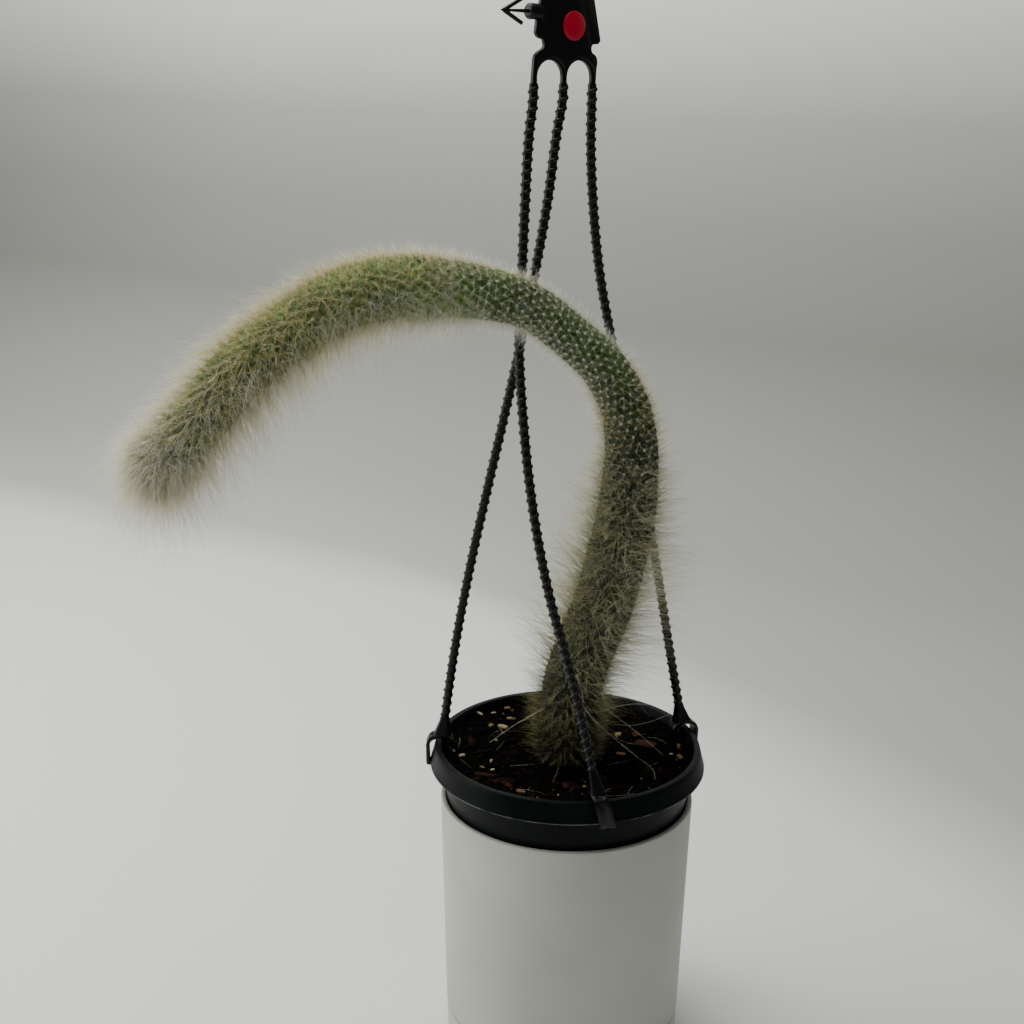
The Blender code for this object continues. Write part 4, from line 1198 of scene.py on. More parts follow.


# Near the soil the lower sets get dark tones at the stem's foot: partly older hair, partly painted shade
# where the foot lies in shadow.
grow("bristles_lower", rings=1, limits=(0.0, 0.42), count=8, stand=0.30, spread=1.0,
     lean=0.10, droop=0.03, curl=0.14,
     length=((0.0, 0.0058), (0.2, 0.0060), (0.33, 0.0052), (0.42, 0.0044)), width=0.000040,
     tone=((0.0, 0.15), (0.1, 0.45), (0.25, 0.7), (0.42, 0.85)), material=old_hair)
grow("bristles_upper", rings=1, limits=(0.42, 1.01), count=10, stand=0.35, spread=1.0,
     lean=0.12, droop=0.05, curl=0.16,
     length=((0.42, 0.0044), (0.5, 0.0044), (0.65, 0.0054), (0.8, 0.0062), (1.0, 0.0064)), width=0.000042,
     tone=((0.42, 0.6), (0.5, 0.9), (0.66, 0.85), (0.78, 0.5), (1.0, 0.5)))
grow("hair_lower", rings=2, limits=(0.0, 0.42), count=7, stand=1.0, spread=0.6,
     lean=((0, 0.3), (0.12, 0.4)), droop=0.05, curl=((0, 0.45), (0.1, 0.2), (0.2, 0.14)),
     length=((0.0, 0.0055), (0.08, 0.009), (0.2, 0.017), (0.28, 0.015), (0.34, 0.012), (0.42, 0.0065)),
     width=0.000048, tone=((0.0, 0.30), (0.1, 0.6), (0.2, 0.75), (0.42, 0.85)), material=old_hair)
grow("neck_spines", rings=2, limits=(0.375, 0.45), count=3, stand=1.0, spread=0.5,
     lean=0.3, droop=0.0, curl=0.08, length=0.0088, width=0.00006, tone=0.38)
grow("hair_bend", rings=2, limits=(0.40, 0.68), count=9, stand=1.0, spread=0.6,
     lean=((0.40, 0.3), (0.68, 0.5)), droop=0.05, curl=0.14,
     length=((0.40, 0.0068), (0.45, 0.0064), (0.6, 0.0062), (0.68, 0.0078)), under=0.9, width=0.000046,
     tone=((0.40, 0.55), (0.44, 0.95), (0.68, 0.9)))
grow("hair_tail", rings=2, limits=(0.66, 1.01), count=15, stand=1.0, spread=0.9,
     lean=((0.66, 0.40), (1.0, 0.30)), droop=((0.66, 0.15), (1.0, 0.40)), curl=0.26,
     length=((0.66, 0.0070), (0.8, 0.0108), (0.92, 0.0134), (1.0, 0.0138)), under=0.5, width=0.00005,
     tone=((0.66, 0.85), (0.74, 0.68), (0.85, 0.6), (1.0, 0.75)))
grow("hair_tip", rings=2, limits=(0.955, 1.01), count=20, stand=1.0, spread=1.0,
     lean=0.15, droop=0.25, curl=0.3, length=0.0104, under=0.4, width=0.00006, tone=0.85)
grow("long_hair_lower", rings=3, limits=(0.0, 0.36), count=8, stand=1.0, spread=0.32,
     lean=((0, 0.3), (0.12, 0.40)), droop=0.12, curl=((0, 0.35), (0.1, 0.16)),
     length=((0.0, 0.007), (0.06, 0.011), (0.12, 0.028), (0.22, 0.034), (0.30, 0.022), (0.36, 0.012)),
     width=0.00005, tone=((0.0, 0.45), (0.1, 0.7), (0.34, 0.9)), material=old_hair)
grow("long_hair_tail", rings=3, limits=(0.62, 1.01), count=6, stand=1.0, spread=0.4,
     lean=((0.62, 0.5), (1.0, 0.35)), droop=((0.62, 0.2), (1.0, 0.45)), curl=0.18,
     length=((0.62, 0.009), (0.8, 0.0145), (1.0, 0.0185)), under=0.7, width=0.00005, tone=0.9)

# %% [markdown]
# ## Strands and clips
#
# A strand is a round core with one ridge that winds up it like a screw thread,
# so that a stop on it can't slip. The grid that becomes the strand is sheared by
# one pitch for each turn, which puts its rows along the ridge. At its lower end
# the strand widens into a fan, and the fan sits on a strap that is moulded over
# the pot's rim, with a toe that grips under the band.

# %% Rolling a grid into a tube
def rolled(name, sides, rows, shape, merge=0.00002):
    """Roll a grid into a tube and fill its ends.

    shape takes the share of the way round and the share of the length of each
    vertex, and returns the points.
    """
    tube = added(name, bpy.ops.mesh.primitive_grid_add, x_subdivisions=sides, y_subdivisions=rows, size=1.0)
    flat = points_of(tube) + 0.5
    tube.data.vertices.foreach_set("co", shape(flat[:, 0], flat[:, 1]).ravel())
    close_up(tube, merge)
    edit_all()
    bpy.ops.mesh.fill_holes(sides=0)
    return close_up(tube, merge)


def slab(name, outline, depths):
    """Fill an outline in the XZ plane and extrude it through several depths in Y."""
    thing = draw_profile(name, outline)
    bpy.ops.mesh.edge_face_add()
    bpy.ops.transform.translate(value=(0.0, depths[0], 0.0))
    for before, depth in zip(depths, depths[1:]):
        bpy.ops.mesh.extrude_region_move(TRANSFORM_OT_translate={"value": (0.0, depth - before, 0.0)})
    return close_up(thing, merge=0.000002)


def united(target, *others):
    """Join closed pieces into one skin with a Boolean union."""
    for other in others:
        only(target)
        union = target.modifiers.new("Union", "BOOLEAN")
        union.operation = "UNION"
        union.solver = "EXACT"
        union.object = other
        bpy.ops.object.modifier_apply(modifier=union.name)
        discard(other)
    return target


# %% [markdown]
# The rod starts inside its fan and ends inside the head's leg, so that no joint
# shows. Its ridge fades out just before the leg.

# %% The strand's rod
CORE_RADIUS = 0.00195
RIDGE_HEIGHT = 0.0006
RIDGE_PITCH = 0.00434
RIDGE_FADE = 0.0012
ROD_SIDES = 20
ROD_OVERLAP = 0.0008
# One turn of the surface: share of the pitch, share of the ridge's height.
RIDGE_STOPS = ((-0.23, 0.0), (-0.14, 0.65), (-0.05, 1.0), (0.05, 1.0), (0.14, 0.65), (0.23, 0.0))


def make_rod(name):
    """The ridged rod of one strand, from inside its fan into the head's leg."""
    route = Route(strand_points(name), ROUTE_STEP)
    rows = (math.ceil(route.length / RIDGE_PITCH) + 1) * len(RIDGE_STOPS)
    shares, heights = np.array(RIDGE_STOPS).T

    def shape(around, along_it):
        turn, stop = np.divmod(np.rint(along_it * rows).astype(int), len(RIDGE_STOPS))
        distance = np.clip((turn + shares[stop] + around - 1.0) * RIDGE_PITCH, 0.0, route.length)
        fade = np.clip((route.length - distance) / RIDGE_FADE, 0.0, 1.0)
        radius = CORE_RADIUS + RIDGE_HEIGHT * heights[stop] * fade
        place, ahead, side, up, _ = route.at(distance)
        over = np.where(distance > route.length - 0.0001, ROD_OVERLAP, 0.0)
        return place + spokes(side, up, 2 * math.pi * around) * radius[:, None] + ahead * over[:, None]

    return rolled(f"{name}_rod", ROD_SIDES, rows, shape)


# %% [markdown]
# The strap is drawn as it is seen from its side and extruded in steps. The steps
# in the middle of its outer side are then sunk, which leaves a raised edge at
# the left and right, as on the real clip.

# %% Fans and clips
CLIP_WIDTH = 0.0073
CLIP_STRAP = 0.0018
CLIP_TOE = 0.0016
CLIP_TOE_RADIUS = 0.0640
CLIP_EDGE_RIB = 0.0020
CLIP_RIB_SLOPE = 0.0005
CLIP_GROOVE = 0.0005
# The groove runs where the strap is past this radius or over this height, and
# is sunk inwards past the second radius and downwards over the second height.
GROOVE_FROM = (0.0690, 0.1601)
GROOVE_SUNK = (0.0660, 0.1590)
# The strap's outer and inner sides as (radius, height), over the pot's rim.
CLIP_OUTSIDE = (
    (0.0558, 0.1541), (0.0556, 0.1570), (0.0572, 0.1598), (0.0600, 0.1612),
    (0.0650, 0.1610), (0.0680, 0.1595), (0.0696, 0.1565),
)
CLIP_INSIDE = (
    (0.0680, 0.1560), (0.0667, 0.1582), (0.0645, 0.1592), (0.0604, 0.1594),
    (0.0584, 0.1586), (0.0572, 0.1566), (0.0573, 0.1541),
)
FAN_DEPTH = 0.0092
FAN_SINK = 0.0006
FAN_GROOVE = 0.0010
FAN_GROOVE_WIDTH = 0.0009
FAN_FLARE = 1.15
FAN_SQUARENESS = 3.0


def rounded_line(points, step):
    """Even points on a smooth curve through points of (radius, height)."""
    return [(float(r), float(z)) for r, _, z in smooth_route([(r, 0.0, z) for r, z in points], step)]


def make_clip(name):
    """The strap over the rim, with a groove down the middle of its outer side."""
    low = BAND_BOTTOM - TOUCH_GAP
    out = BAND_RADIUS + TOUCH_GAP
    toe = [
        (out + CLIP_STRAP, low + 0.0005),
        (out + CLIP_STRAP - 0.0004, low - 0.0012),
        (CLIP_TOE_RADIUS, low - CLIP_TOE),
        (CLIP_TOE_RADIUS, low),
        (out, low),
    ]
    outline = rounded_line(CLIP_OUTSIDE, 0.0010) + toe + rounded_line(CLIP_INSIDE, 0.0010)
    half = CLIP_WIDTH / 2
    rib = half - CLIP_EDGE_RIB
    groove = rib - CLIP_RIB_SLOPE
    clip = slab(f"{name}_clip", outline, (-half, -rib, -groove, groove, rib, half))
    for vertex in clip.data.vertices:
        outer_side = vertex.co.x > GROOVE_FROM[0] or vertex.co.z > GROOVE_FROM[1]
        if abs(vertex.co.y) < rib - 0.0002 and outer_side:
            vertex.co.x -= CLIP_GROOVE * (vertex.co.x > GROOVE_SUNK[0])
            vertex.co.z -= CLIP_GROOVE * (vertex.co.z > GROOVE_SUNK[1])
    bevel(clip, width=0.00025, segments=2, degrees=40)
    _, azimuth, lean, _ = STRANDS[name]
    for vertex in clip.data.vertices:
        vertex.co.y += lean * (vertex.co.z - BAND_BOTTOM)
    clip.rotation_euler.z = math.radians(azimuth)
    return settle(clip)


def make_fan(name):
    """The fan between a strand's end and its strap: round above, square below."""
    base, way, outward = strand_end(name)
    sideways = unit(np.cross(way, outward))
    radial = np.cross(sideways, way)

    def shape(around, height):
        spread = (1.0 - height) ** FAN_FLARE
        power = 2.0 / (2.0 + FAN_SQUARENESS * spread)
        cosine, sine = np.cos(2 * math.pi * around), np.sin(2 * math.pi * around)
        x, y = [(CORE_RADIUS + (size / 2 - CORE_RADIUS) * spread) * np.sign(wave) * np.abs(wave) ** power
                for size, wave in ((FAN_DEPTH, cosine), (CLIP_WIDTH, sine))]
        x = x - FAN_GROOVE * spread * np.exp(-(y / FAN_GROOVE_WIDTH) ** 2) * (cosine > 0.0)
        up = height * (FAN_LENGTH + FAN_SINK) - FAN_SINK
        return base + x[:, None] * radial + y[:, None] * sideways + up[:, None] * way

    return rolled(f"{name}_fan", 40, 10, shape)


hanger_plastic = black_polypropylene("moulded black polypropylene hanger", "#050607", "#0d1012", 0.30, 0.28)
for name in STRANDS:
    strand = united(make_rod(name), make_fan(name), make_clip(name))
    strand.name = f"ridged_{name}"
    strand.data.name = strand.name
    smooth(strand, degrees=42)
    finish(strand, hanger_plastic, "black_hanger_plastic", name)

# %% [markdown]
# ## The head of the hanger
#
# The head is one flat moulding: three legs under two arches, a plate, and a hook
# above. It is drawn as an outline, extruded and bevelled. Raised lines follow
# the arches, and a barbed peg with a knob stands out at one side. The red button
# is a separate turned piece.

# %% The head's outline
HEAD_THICKNESS = 0.0020
LEG_HALF_WIDTH = 0.0013
ARCH_TOP = 0.0102
ARCH_RADIUS = LEG_SPACING / 2 - LEG_HALF_WIDTH
ARCH_HEIGHT = ARCH_TOP - ARCH_RADIUS
# The plate's edges as (width, height): up its right side from the outer leg to
# the shank, and down its left side again.
PLATE_RIGHT = (
    (0.0184, 0.0060), (0.0187, 0.0108), (0.0176, 0.0126), (0.0156, 0.0137),
    (0.0155, 0.0166), (0.0196, 0.0176), (0.0203, 0.0186), (0.0199, 0.0208),
    (0.0164, 0.0352), (0.0120, 0.0462),
)
PLATE_LEFT = (
    (-0.0095, 0.0462), (-0.0140, 0.0345), (-0.0162, 0.0255), (-0.0162, 0.0202),
    (-0.0152, 0.0192), (-0.0124, 0.0184), (-0.0118, 0.0158), (-0.0156, 0.0132),
    (-0.0169, 0.0118), (-0.0176, 0.0072),
)
PLATE_STEP = 0.0011
SHANK_HALF_WIDTH = 0.0036
SHANK_BASE = 0.0520
HOOK_CENTRE = (0.0012, 0.0722)
HOOK_RADIUS = 0.0110
HOOK_WIDTH = 0.0055
HOOK_MOUTH_DEGREES = 196


def arc(centre, radius, start, end, steps):
    """Points along an arc, with angles in degrees."""
    angles = [math.radians(start + (end - start) * i / steps) for i in range(steps + 1)]
    return [(centre[0] + radius * math.cos(a), centre[1] + radius * math.sin(a)) for a in angles]


def head_outline():
    """Outline of the head in its own plane: width to the right, height up."""
    outline = []
    for leg in (-LEG_SPACING, 0.0, LEG_SPACING):
        outline += [(leg - LEG_HALF_WIDTH, 0.0), (leg + LEG_HALF_WIDTH, 0.0)]
        if leg < LEG_SPACING:
            outline += arc((leg + LEG_SPACING / 2, ARCH_HEIGHT), ARCH_RADIUS, 180, 0, 24)
    outline += rounded_line(PLATE_RIGHT[:8], PLATE_STEP) + list(PLATE_RIGHT[8:])
    reach = HOOK_RADIUS + HOOK_WIDTH
    foot = -math.degrees(math.acos(SHANK_HALF_WIDTH / reach))
    shank_left = HOOK_CENTRE[0] - SHANK_HALF_WIDTH
    outline += [(HOOK_CENTRE[0] + SHANK_HALF_WIDTH, SHANK_BASE)]
    outline += arc(HOOK_CENTRE, reach, foot, HOOK_MOUTH_DEGREES, 60)
    outline += arc(HOOK_CENTRE, HOOK_RADIUS, HOOK_MOUTH_DEGREES + 4, -84, 44)
    outline += [(shank_left, HOOK_CENTRE[1] - HOOK_RADIUS - 0.0020), (shank_left, SHANK_BASE)]
    return outline + list(PLATE_LEFT[:2]) + rounded_line(PLATE_LEFT[2:], PLATE_STEP)


# %% [markdown]
# The plate is the extruded outline. The lines, the knob, the peg with its barbs
# and the ring that an ejector pin left are joined to it, so that the head is one
# skin, as it comes from its mould.

# %% The head
RIB_RADIUS = 0.0084
RIB_ASIDE = 0.0002
RIB_SUNK = 0.0001
RIB_THICKNESS = 0.00060
PEG_HEIGHT = 0.0298
PEG_RADIUS = 0.0009
PEG_TIP_RADIUS = 0.0004
PEG_TIP = -0.0350
BARB_FRONT = -0.0336
BARB_BACK = -0.0237
BARB_RISE = 0.0050
KNOB_RADIUS = 0.0034
KNOB_EDGE = 0.0016
KNOB_INSIDE = -0.0140
KNOB_FACE = -0.0208
PIN_MARK_PLACE = (-0.0121, 0.0272)
PIN_MARK_RADIUS = 0.0011
PIN_MARK_THICKNESS = 0.0002


def place_on_head(thing):
    """Stand a piece that was made in the XZ plane in the head's place."""
    thing.data.transform(Matrix.Translation(HEAD_CENTRE) @ Matrix.Rotation(HEAD_TURN, 4, "Z"))
    return thing


def ring_on_face(name, x, z, radius, thickness, segments, sunk=0.0):
    """A raised round line on the plate's face."""
    return settle(added(
        name, bpy.ops.mesh.primitive_torus_add, major_radius=radius, minor_radius=thickness,
        major_segments=segments, minor_segments=8, location=(x, sunk - HEAD_THICKNESS / 2, z),
        rotation=(math.pi / 2, 0.0, 0.0)))


def arch_rib(side):
    """A raised line over an arch: the upper half of a ring, sunk in the face."""
    x = side * LEG_SPACING / 2 + RIB_ASIDE
    ring = ring_on_face(f"rib_{side:+d}", x, ARCH_HEIGHT, RIB_RADIUS, RIB_THICKNESS, 64, RIB_SUNK)
    edit_all()
    bpy.ops.mesh.bisect(plane_co=(x, 0.0, ARCH_HEIGHT), plane_no=(0.0, 0.0, 1.0),
                        clear_inner=True, use_fill=True)
    return close_up(ring)


def rod_between(name, start, end, radius, tip):
    """A round rod between two places of (width, height), with a radius at each end."""
    low, high = Vector((start[0], 0.0, start[1])), Vector((end[0], 0.0, end[1]))
    way = high - low
    rod = settle(added(
        name, bpy.ops.mesh.primitive_cone_add, vertices=16, radius1=radius, radius2=tip, depth=way.length,
        location=(low + high) / 2, rotation=way.to_track_quat("Z", "Y").to_euler()))
    return bevel(rod, width=0.0002, segments=2)


def make_knob():
    """A round-ended boss at the plate's side."""
    length = KNOB_INSIDE - KNOB_FACE
    profile = [(0.0, 0.0), (KNOB_RADIUS * 0.94, 0.0), (KNOB_RADIUS, length - KNOB_EDGE)]
    profile += [(KNOB_RADIUS - KNOB_EDGE * (1 - math.cos(a)), length - KNOB_EDGE * (1 - math.sin(a)))
                for a in (0.5, 1.0, math.pi / 2)]
    knob = turned("knob", [*profile, (0.0, length)], steps=32)
    sideways = Matrix.Rotation(-math.pi / 2, 4, "Y")
    knob.data.transform(Matrix.Translation((KNOB_INSIDE, 0.0, PEG_HEIGHT)) @ sideways)
    return close_up(knob)


def make_head(plastic):
    """The head in one skin."""
    half = HEAD_THICKNESS / 2
    head = slab("moulded_head", head_outline(), (-half, half))
    bevel(head, width=0.00035, segments=3, degrees=40)
    peg_root = (KNOB_FACE + 0.001, PEG_HEIGHT)
    pieces = [arch_rib(-1), arch_rib(1), make_knob()]
    pieces += [rod_between("peg", peg_root, (PEG_TIP, PEG_HEIGHT), PEG_RADIUS, PEG_TIP_RADIUS)]
    pieces += [rod_between("barb", (BARB_FRONT, PEG_HEIGHT), (BARB_BACK, PEG_HEIGHT + rise),
                           PEG_RADIUS, PEG_RADIUS) for rise in (BARB_RISE, -BARB_RISE)]
    pieces += [ring_on_face("pin_mark", *PIN_MARK_PLACE, PIN_MARK_RADIUS, PIN_MARK_THICKNESS, 32)]
    united(head, *pieces)
    smooth(head, degrees=25)
    finish(place_on_head(head), plastic, "black_hanger_plastic", "hanger_head")


# %% [markdown]
# The button snaps into the plate with a pin. Its face is a low dome with a soft
# edge.

# %% The red button
BUTTON_PLACE = (0.0042, 0.0245)
BUTTON_RADIUS = 0.0062
BUTTON_DOME = 0.0018
BUTTON_EDGE = 0.0004
BUTTON_PIN_RADIUS = 0.0026


def red_polypropylene():
    """Moulded red polypropylene, deep in colour, with a fine satin grain."""
    material, tree, shader = new_material(
        "moulded red polypropylene", "#c00a2e", 0.34, {"Specular IOR Level": 0.25})
    place = add_node(tree, "TexCoord", "Object")
    skin = add_node(tree, "TexNoise", "Fac", {"Vector": place, "Scale": grain(0.6), "Detail": 3.0})
    rough = add_node(tree, "MapRange", "Result", {"Value": skin, "To Min": 0.28, "To Max": 0.44})
    fill_sockets(shader, {"Roughness": rough})
    return material


def make_button():
    """The domed button on its pin."""
    half = HEAD_THICKNESS / 2
    face = half + TOUCH_GAP
    profile = [(float(BUTTON_RADIUS * math.sin(a)),
                float(face + BUTTON_EDGE + (BUTTON_DOME - BUTTON_EDGE) * math.cos(a)))
               for a in np.linspace(0.0, math.pi / 2, 14)]
    profile += [(BUTTON_RADIUS, face), (BUTTON_PIN_RADIUS, face), (BUTTON_PIN_RADIUS, -half), (0.0, -half)]
    button = turned("red_button", profile, steps=96)
    x, z = BUTTON_PLACE
    button.data.transform(Matrix.Translation((x, 0.0, z)) @ Matrix.Rotation(math.pi / 2, 4, "X"))
    smooth(close_up(button), degrees=50)
    finish(place_on_head(button), red_polypropylene(), "red_plastic", "lock_button")


make_head(hanger_plastic)
make_button()

# %% [markdown]
# ## Soil
#
# The potting mix is dark, coarse peat, a little heaped at the pot's wall. A disc
# of fine rings gives its surface, and noise roughens it. Crumbs of peat, slivers
# of bark and a few pale bits of grit and shell lie on it. Each is modelled once
# and copied; the larger chips keep the places of those in the solid.
#
# The mix is drawn from one finish. A stored number says what a bit is, from
# black peat over brown bark to pale grit.

# %% The potting mix
def potting_mix():
    """Damp peat, bark and grit.

    Damp peat is almost black, with a faint sheen on each grain. Bark is a dull
    red-brown, and the grit and shell bits are pale yellow to white. Grains of
    about 1 mm and 0.3 mm break the surface up.
    """
    material, tree, shader = new_material("damp peat and bark", "#120f0c", 0.8, {"Specular IOR Level": 0.02})
    place = add_node(tree, "TexCoord", "Object")
    kind = add_node(tree, "Attribute", "Fac", attribute_name="kind")
    grains = add_node(tree, "TexNoise", "Fac",
                      {"Vector": place, "Scale": grain(1.1), "Detail": 6.0, "Roughness": 0.7})
    mixed = add_node(tree, "Math", "Value", {0: grains, 1: 0.22, 2: kind}, operation="MULTIPLY_ADD")
    stops = [(0.10, "#050404"), (0.24, "#0e0b09"), (0.45, "#1e1510"), (0.60, "#2e1a12"),
             (0.72, "#4c3626"), (0.88, "#86724c"), (1.0, "#aea482")]
    tone = add_node(tree, "ValToRGB", "Color", {"Fac": mixed}, stops=stops)
    fine = add_node(tree, "TexNoise", "Fac", {"Vector": place, "Scale": grain(0.35), "Detail": 4.0})
    both = add_node(tree, "Math", "Value", {0: grains, 1: fine}, operation="ADD")
    bump = add_node(tree, "Bump", "Normal", {"Height": both, "Strength": 0.8, "Distance": 0.0006})
    fill_sockets(shader, {"Base Color": tone, "Normal": bump})
    return material


# %% [markdown]
# The soil is turned like the pots, with many rings in its upper face. The rings
# near the middle are moved aside to the stem, and each point of the face is
# lifted by the noise.

# %% The soil's surface
SOIL_RELIEF = 0.0011
SOIL_GRAIN = 260
SOIL_NOISE = (0.9, 2.1, 4)
SOIL_RINGS = 54
SOIL_SHIFT_WIDTH = 0.02
STEM_HOLE = 0.0156
STEM_HOLE_FLOOR = 0.1257


def soil_height(x, y):
    """Height of the soil at places, without its crumbs."""
    rise = soil_rise(x, y)
    rough = [noise.fractal(Vector((u, v, SOIL_TOP)) * SOIL_GRAIN, *SOIL_NOISE)
             for u, v in zip(np.ravel(x), np.ravel(y))]
    return SOIL_TOP + SOIL_EDGE_RISE * rise + SOIL_RELIEF * np.array(rough) * (1 - 0.6 * rise)


def make_soil(peat):
    """Peat that fills the pot: a roughened disc on a plain plug, with the stem's hole."""
    clear = POT_WALL + TOUCH_GAP
    bottom = POT_FLOOR + clear
    first = STEM_HOLE / SOIL_EDGE_RADIUS
    rings = [SOIL_EDGE_RADIUS * (first + (1 - first) * i / SOIL_RINGS) for i in range(SOIL_RINGS + 1)]
    soil = turned("potting_soil", [
        (STEM_HOLE, STEM_HOLE_FLOOR),
        *[(radius, SOIL_TOP) for radius in rings],
        (pot_wall_radius(SOIL_TOP) - clear, SOIL_TOP - 0.0004),
        (pot_wall_radius(bottom) - clear - 0.0012, bottom),
        (0.0, bottom),
        (0.0, STEM_HOLE_FLOOR),
        (STEM_HOLE, STEM_HOLE_FLOOR),
    ], steps=180)
    points = points_of(soil)
    top = points[:, 2] > SOIL_TOP - 0.0001
    hole = points[:, 2] > STEM_HOLE_FLOOR - 0.0007
    inner = (SOIL_EDGE_RADIUS - np.hypot(points[:, 0], points[:, 1])) / SOIL_SHIFT_WIDTH
    points[hole, :2] += np.array(STEM_ROUTE[0][:2]) * np.clip(inner, 0.0, 1.0)[hole, None]
    points[top, 2] = soil_height(points[top, 0], points[top, 1])
    soil.data.vertices.foreach_set("co", points.ravel())
    soil.data.update()
    smooth(soil, degrees=60)
    finish(soil, peat, "peat_and_bark", "soil")


mix = potting_mix()
make_soil(mix)

# %% [markdown]
# Crumbs and slivers are strewn at random, clear of the stem. The chips and the
# bits that catch the eye have places of their own.

# %% Models of a crumb and a chip
CHIP_SIZES = ((0.006, 0.011), (0.0035, 0.006), (0.002, 0.0032))
CHIP_TILT = 0.3
CHIP_COUNT = 22
CHIP_SPREAD = 0.050
CHIP_STEM_CLEARANCE = 0.024
CHIP_TAPER = 0.30
CHIP_WEAR = 0.22
CHIP_RAGGED = 0.10
CHIP_BOW = 0.16


def model_lump(name, roughness, seed):
    """An uneven ball of twenty faces."""
    lump = added(name, bpy.ops.mesh.primitive_ico_sphere_add, subdivisions=1, radius=0.5)
    for vertex in lump.data.vertices:
        vertex.co *= 1 + roughness * noise.noise(vertex.co * 3.1 + Vector((seed, 0.0, 0.0)))
    return lump


def model_chip():
    """A sliver of bark: a block with worn edges, a little bowed and pointed."""
    chip = added("chip", bpy.ops.mesh.primitive_cube_add, size=1.0)
    edit_all()
    bpy.ops.mesh.subdivide(number_cuts=1)
    bpy.ops.object.mode_set(mode="OBJECT")
    for vertex in chip.data.vertices:
        x, y, z = vertex.co
        worn = 1 - CHIP_TAPER * abs(x) - CHIP_WEAR * (abs(y) > 0.4) * (abs(z) > 0.4)
        ragged = CHIP_RAGGED * noise.noise(Vector((x, y, z)) * 4.3)
        vertex.co = Vector((x * (1 + ragged), y * worn + ragged, z * worn + CHIP_BOW * (0.25 - x * x)))
    return chip


def turned_bases(turns, tilts, leans):
    """Axes, as rows, of copies that are leaned, tilted and then turned about Z."""
    rows = []
    for turn, tilt, lean in zip(turns, tilts, leans):
        matrix = Matrix.Rotation(turn, 3, "Z") @ Matrix.Rotation(tilt, 3, "X") @ Matrix.Rotation(lean, 3, "Y")
        rows.append([list(row) for row in matrix.transposed()])
    return np.array(rows)


def on_soil(x, y):
    """Places on the soil's surface."""
    return np.column_stack([x, y, soil_height(x, y)])


def strewn(count, least, most):
    """Random places on the soil between two radii, clear of the stem."""
    angle = chance.uniform(0, 2 * math.pi, count)
    radius = np.sqrt(chance.uniform(least ** 2, most ** 2, count))
    x, y = radius * np.cos(angle), radius * np.sin(angle)
    keep = np.hypot(x - STEM_ROUTE[0][0], y - STEM_ROUTE[0][1]) > least
    return on_soil(x[keep], y[keep])


def lay(name, model, places, bases, sizes, kinds):
    """Copy a model over the soil and store what each copy is."""
    thing = copies(name, model, places, bases, sizes)
    store(thing, "kind", np.repeat(kinds, len(model.data.vertices)))
    discard(model)
    smooth(thing, degrees=50)
    finish(thing, mix, "peat_and_bark")


# %% [markdown]
# Real peat shows crumbs of all sizes, so their sizes are drawn from a skewed
# spread: many small ones and a few large. A few of them are pale bark.

# %% What is strewn on the soil
CRUMBS = 2300
CRUMB_RING = (0.0160, 0.0598)
CRUMB_SIZE = 0.0011
PALE_CRUMBS = 0.03
SLIVERS = 420
SLIVER_RING = (0.0170, 0.0570)
SLIVER_SIZES = ((0.0022, 0.0060), (0.0007, 0.0018), (0.0004, 0.0009))
SLIVER_LIFT = 0.0003


def make_crumbs():
    """Crumbs of peat all over the soil."""
    places = strewn(CRUMBS, *CRUMB_RING)
    many = len(places)
    sizes = CRUMB_SIZE * chance.lognormal(0.0, 0.35, many)[:, None] * chance.uniform(0.6, 1.2, (many, 3))
    sizes[:, 0] *= chance.uniform(1.0, 2.2, many)
    bases = turned_bases(*chance.uniform(0, 2 * math.pi, (3, many)))
    kinds = np.clip(chance.normal(0.08, 0.08, many), 0.0, 0.4)
    kinds = np.where(chance.random(many) < PALE_CRUMBS, chance.uniform(0.5, 0.85, many), kinds)
    lay("peat_crumbs", model_lump("crumb", 0.5, 2.0), places, bases, sizes, kinds)


def make_slivers():
    """Slivers of bark and wood that lie flat among the crumbs."""
    places = strewn(SLIVERS, *SLIVER_RING) + (0.0, 0.0, SLIVER_LIFT)
    many = len(places)
    sizes = np.column_stack([chance.uniform(low, high, many) for low, high in SLIVER_SIZES])
    bases = turned_bases(chance.uniform(0, 2 * math.pi, many), *chance.normal(0.0, 0.22, (2, many)))
    kinds = np.clip(chance.normal(0.20, 0.13, many), 0.0, 0.6)
    lay("bark_slivers", model_lump("sliver", 0.3, 7.0), places, bases, sizes, kinds)


def make_chips():
    """The larger chips, drawn from a seed of their own, where the solid has them."""
    draw = random.Random(5)
    places, bases, sizes = [], [], []
    while len(places) < CHIP_COUNT:
        angle = draw.uniform(0, 2 * math.pi)
        radius = CHIP_SPREAD * math.sqrt(draw.random())
        x, y = radius * math.cos(angle), radius * math.sin(angle)
        if (Vector((x, y)) - Vector(STEM_ROUTE[0][:2])).length < CHIP_STEM_CLEARANCE:
            continue
        sizes.append([draw.uniform(*limits) for limits in CHIP_SIZES])
        spin, tilt = draw.uniform(0, math.pi), draw.uniform(-CHIP_TILT, CHIP_TILT)
        bases.append(turned_bases([spin], [tilt], [0.0])[0])
        places.append((x, y))
    kinds = chance.uniform(0.02, 0.30, CHIP_COUNT)
    lay("bark_chips", model_chip(), on_soil(*np.array(places).T), np.array(bases), np.array(sizes), kinds)


make_crumbs()
make_slivers()
make_chips()

# %% [markdown]
# The bits that catch the eye in the photograph lie where it shows them.

# %% The bits that stand out
BIT_LIFT = 0.0009
BIT_HEIGHT = 0.0016
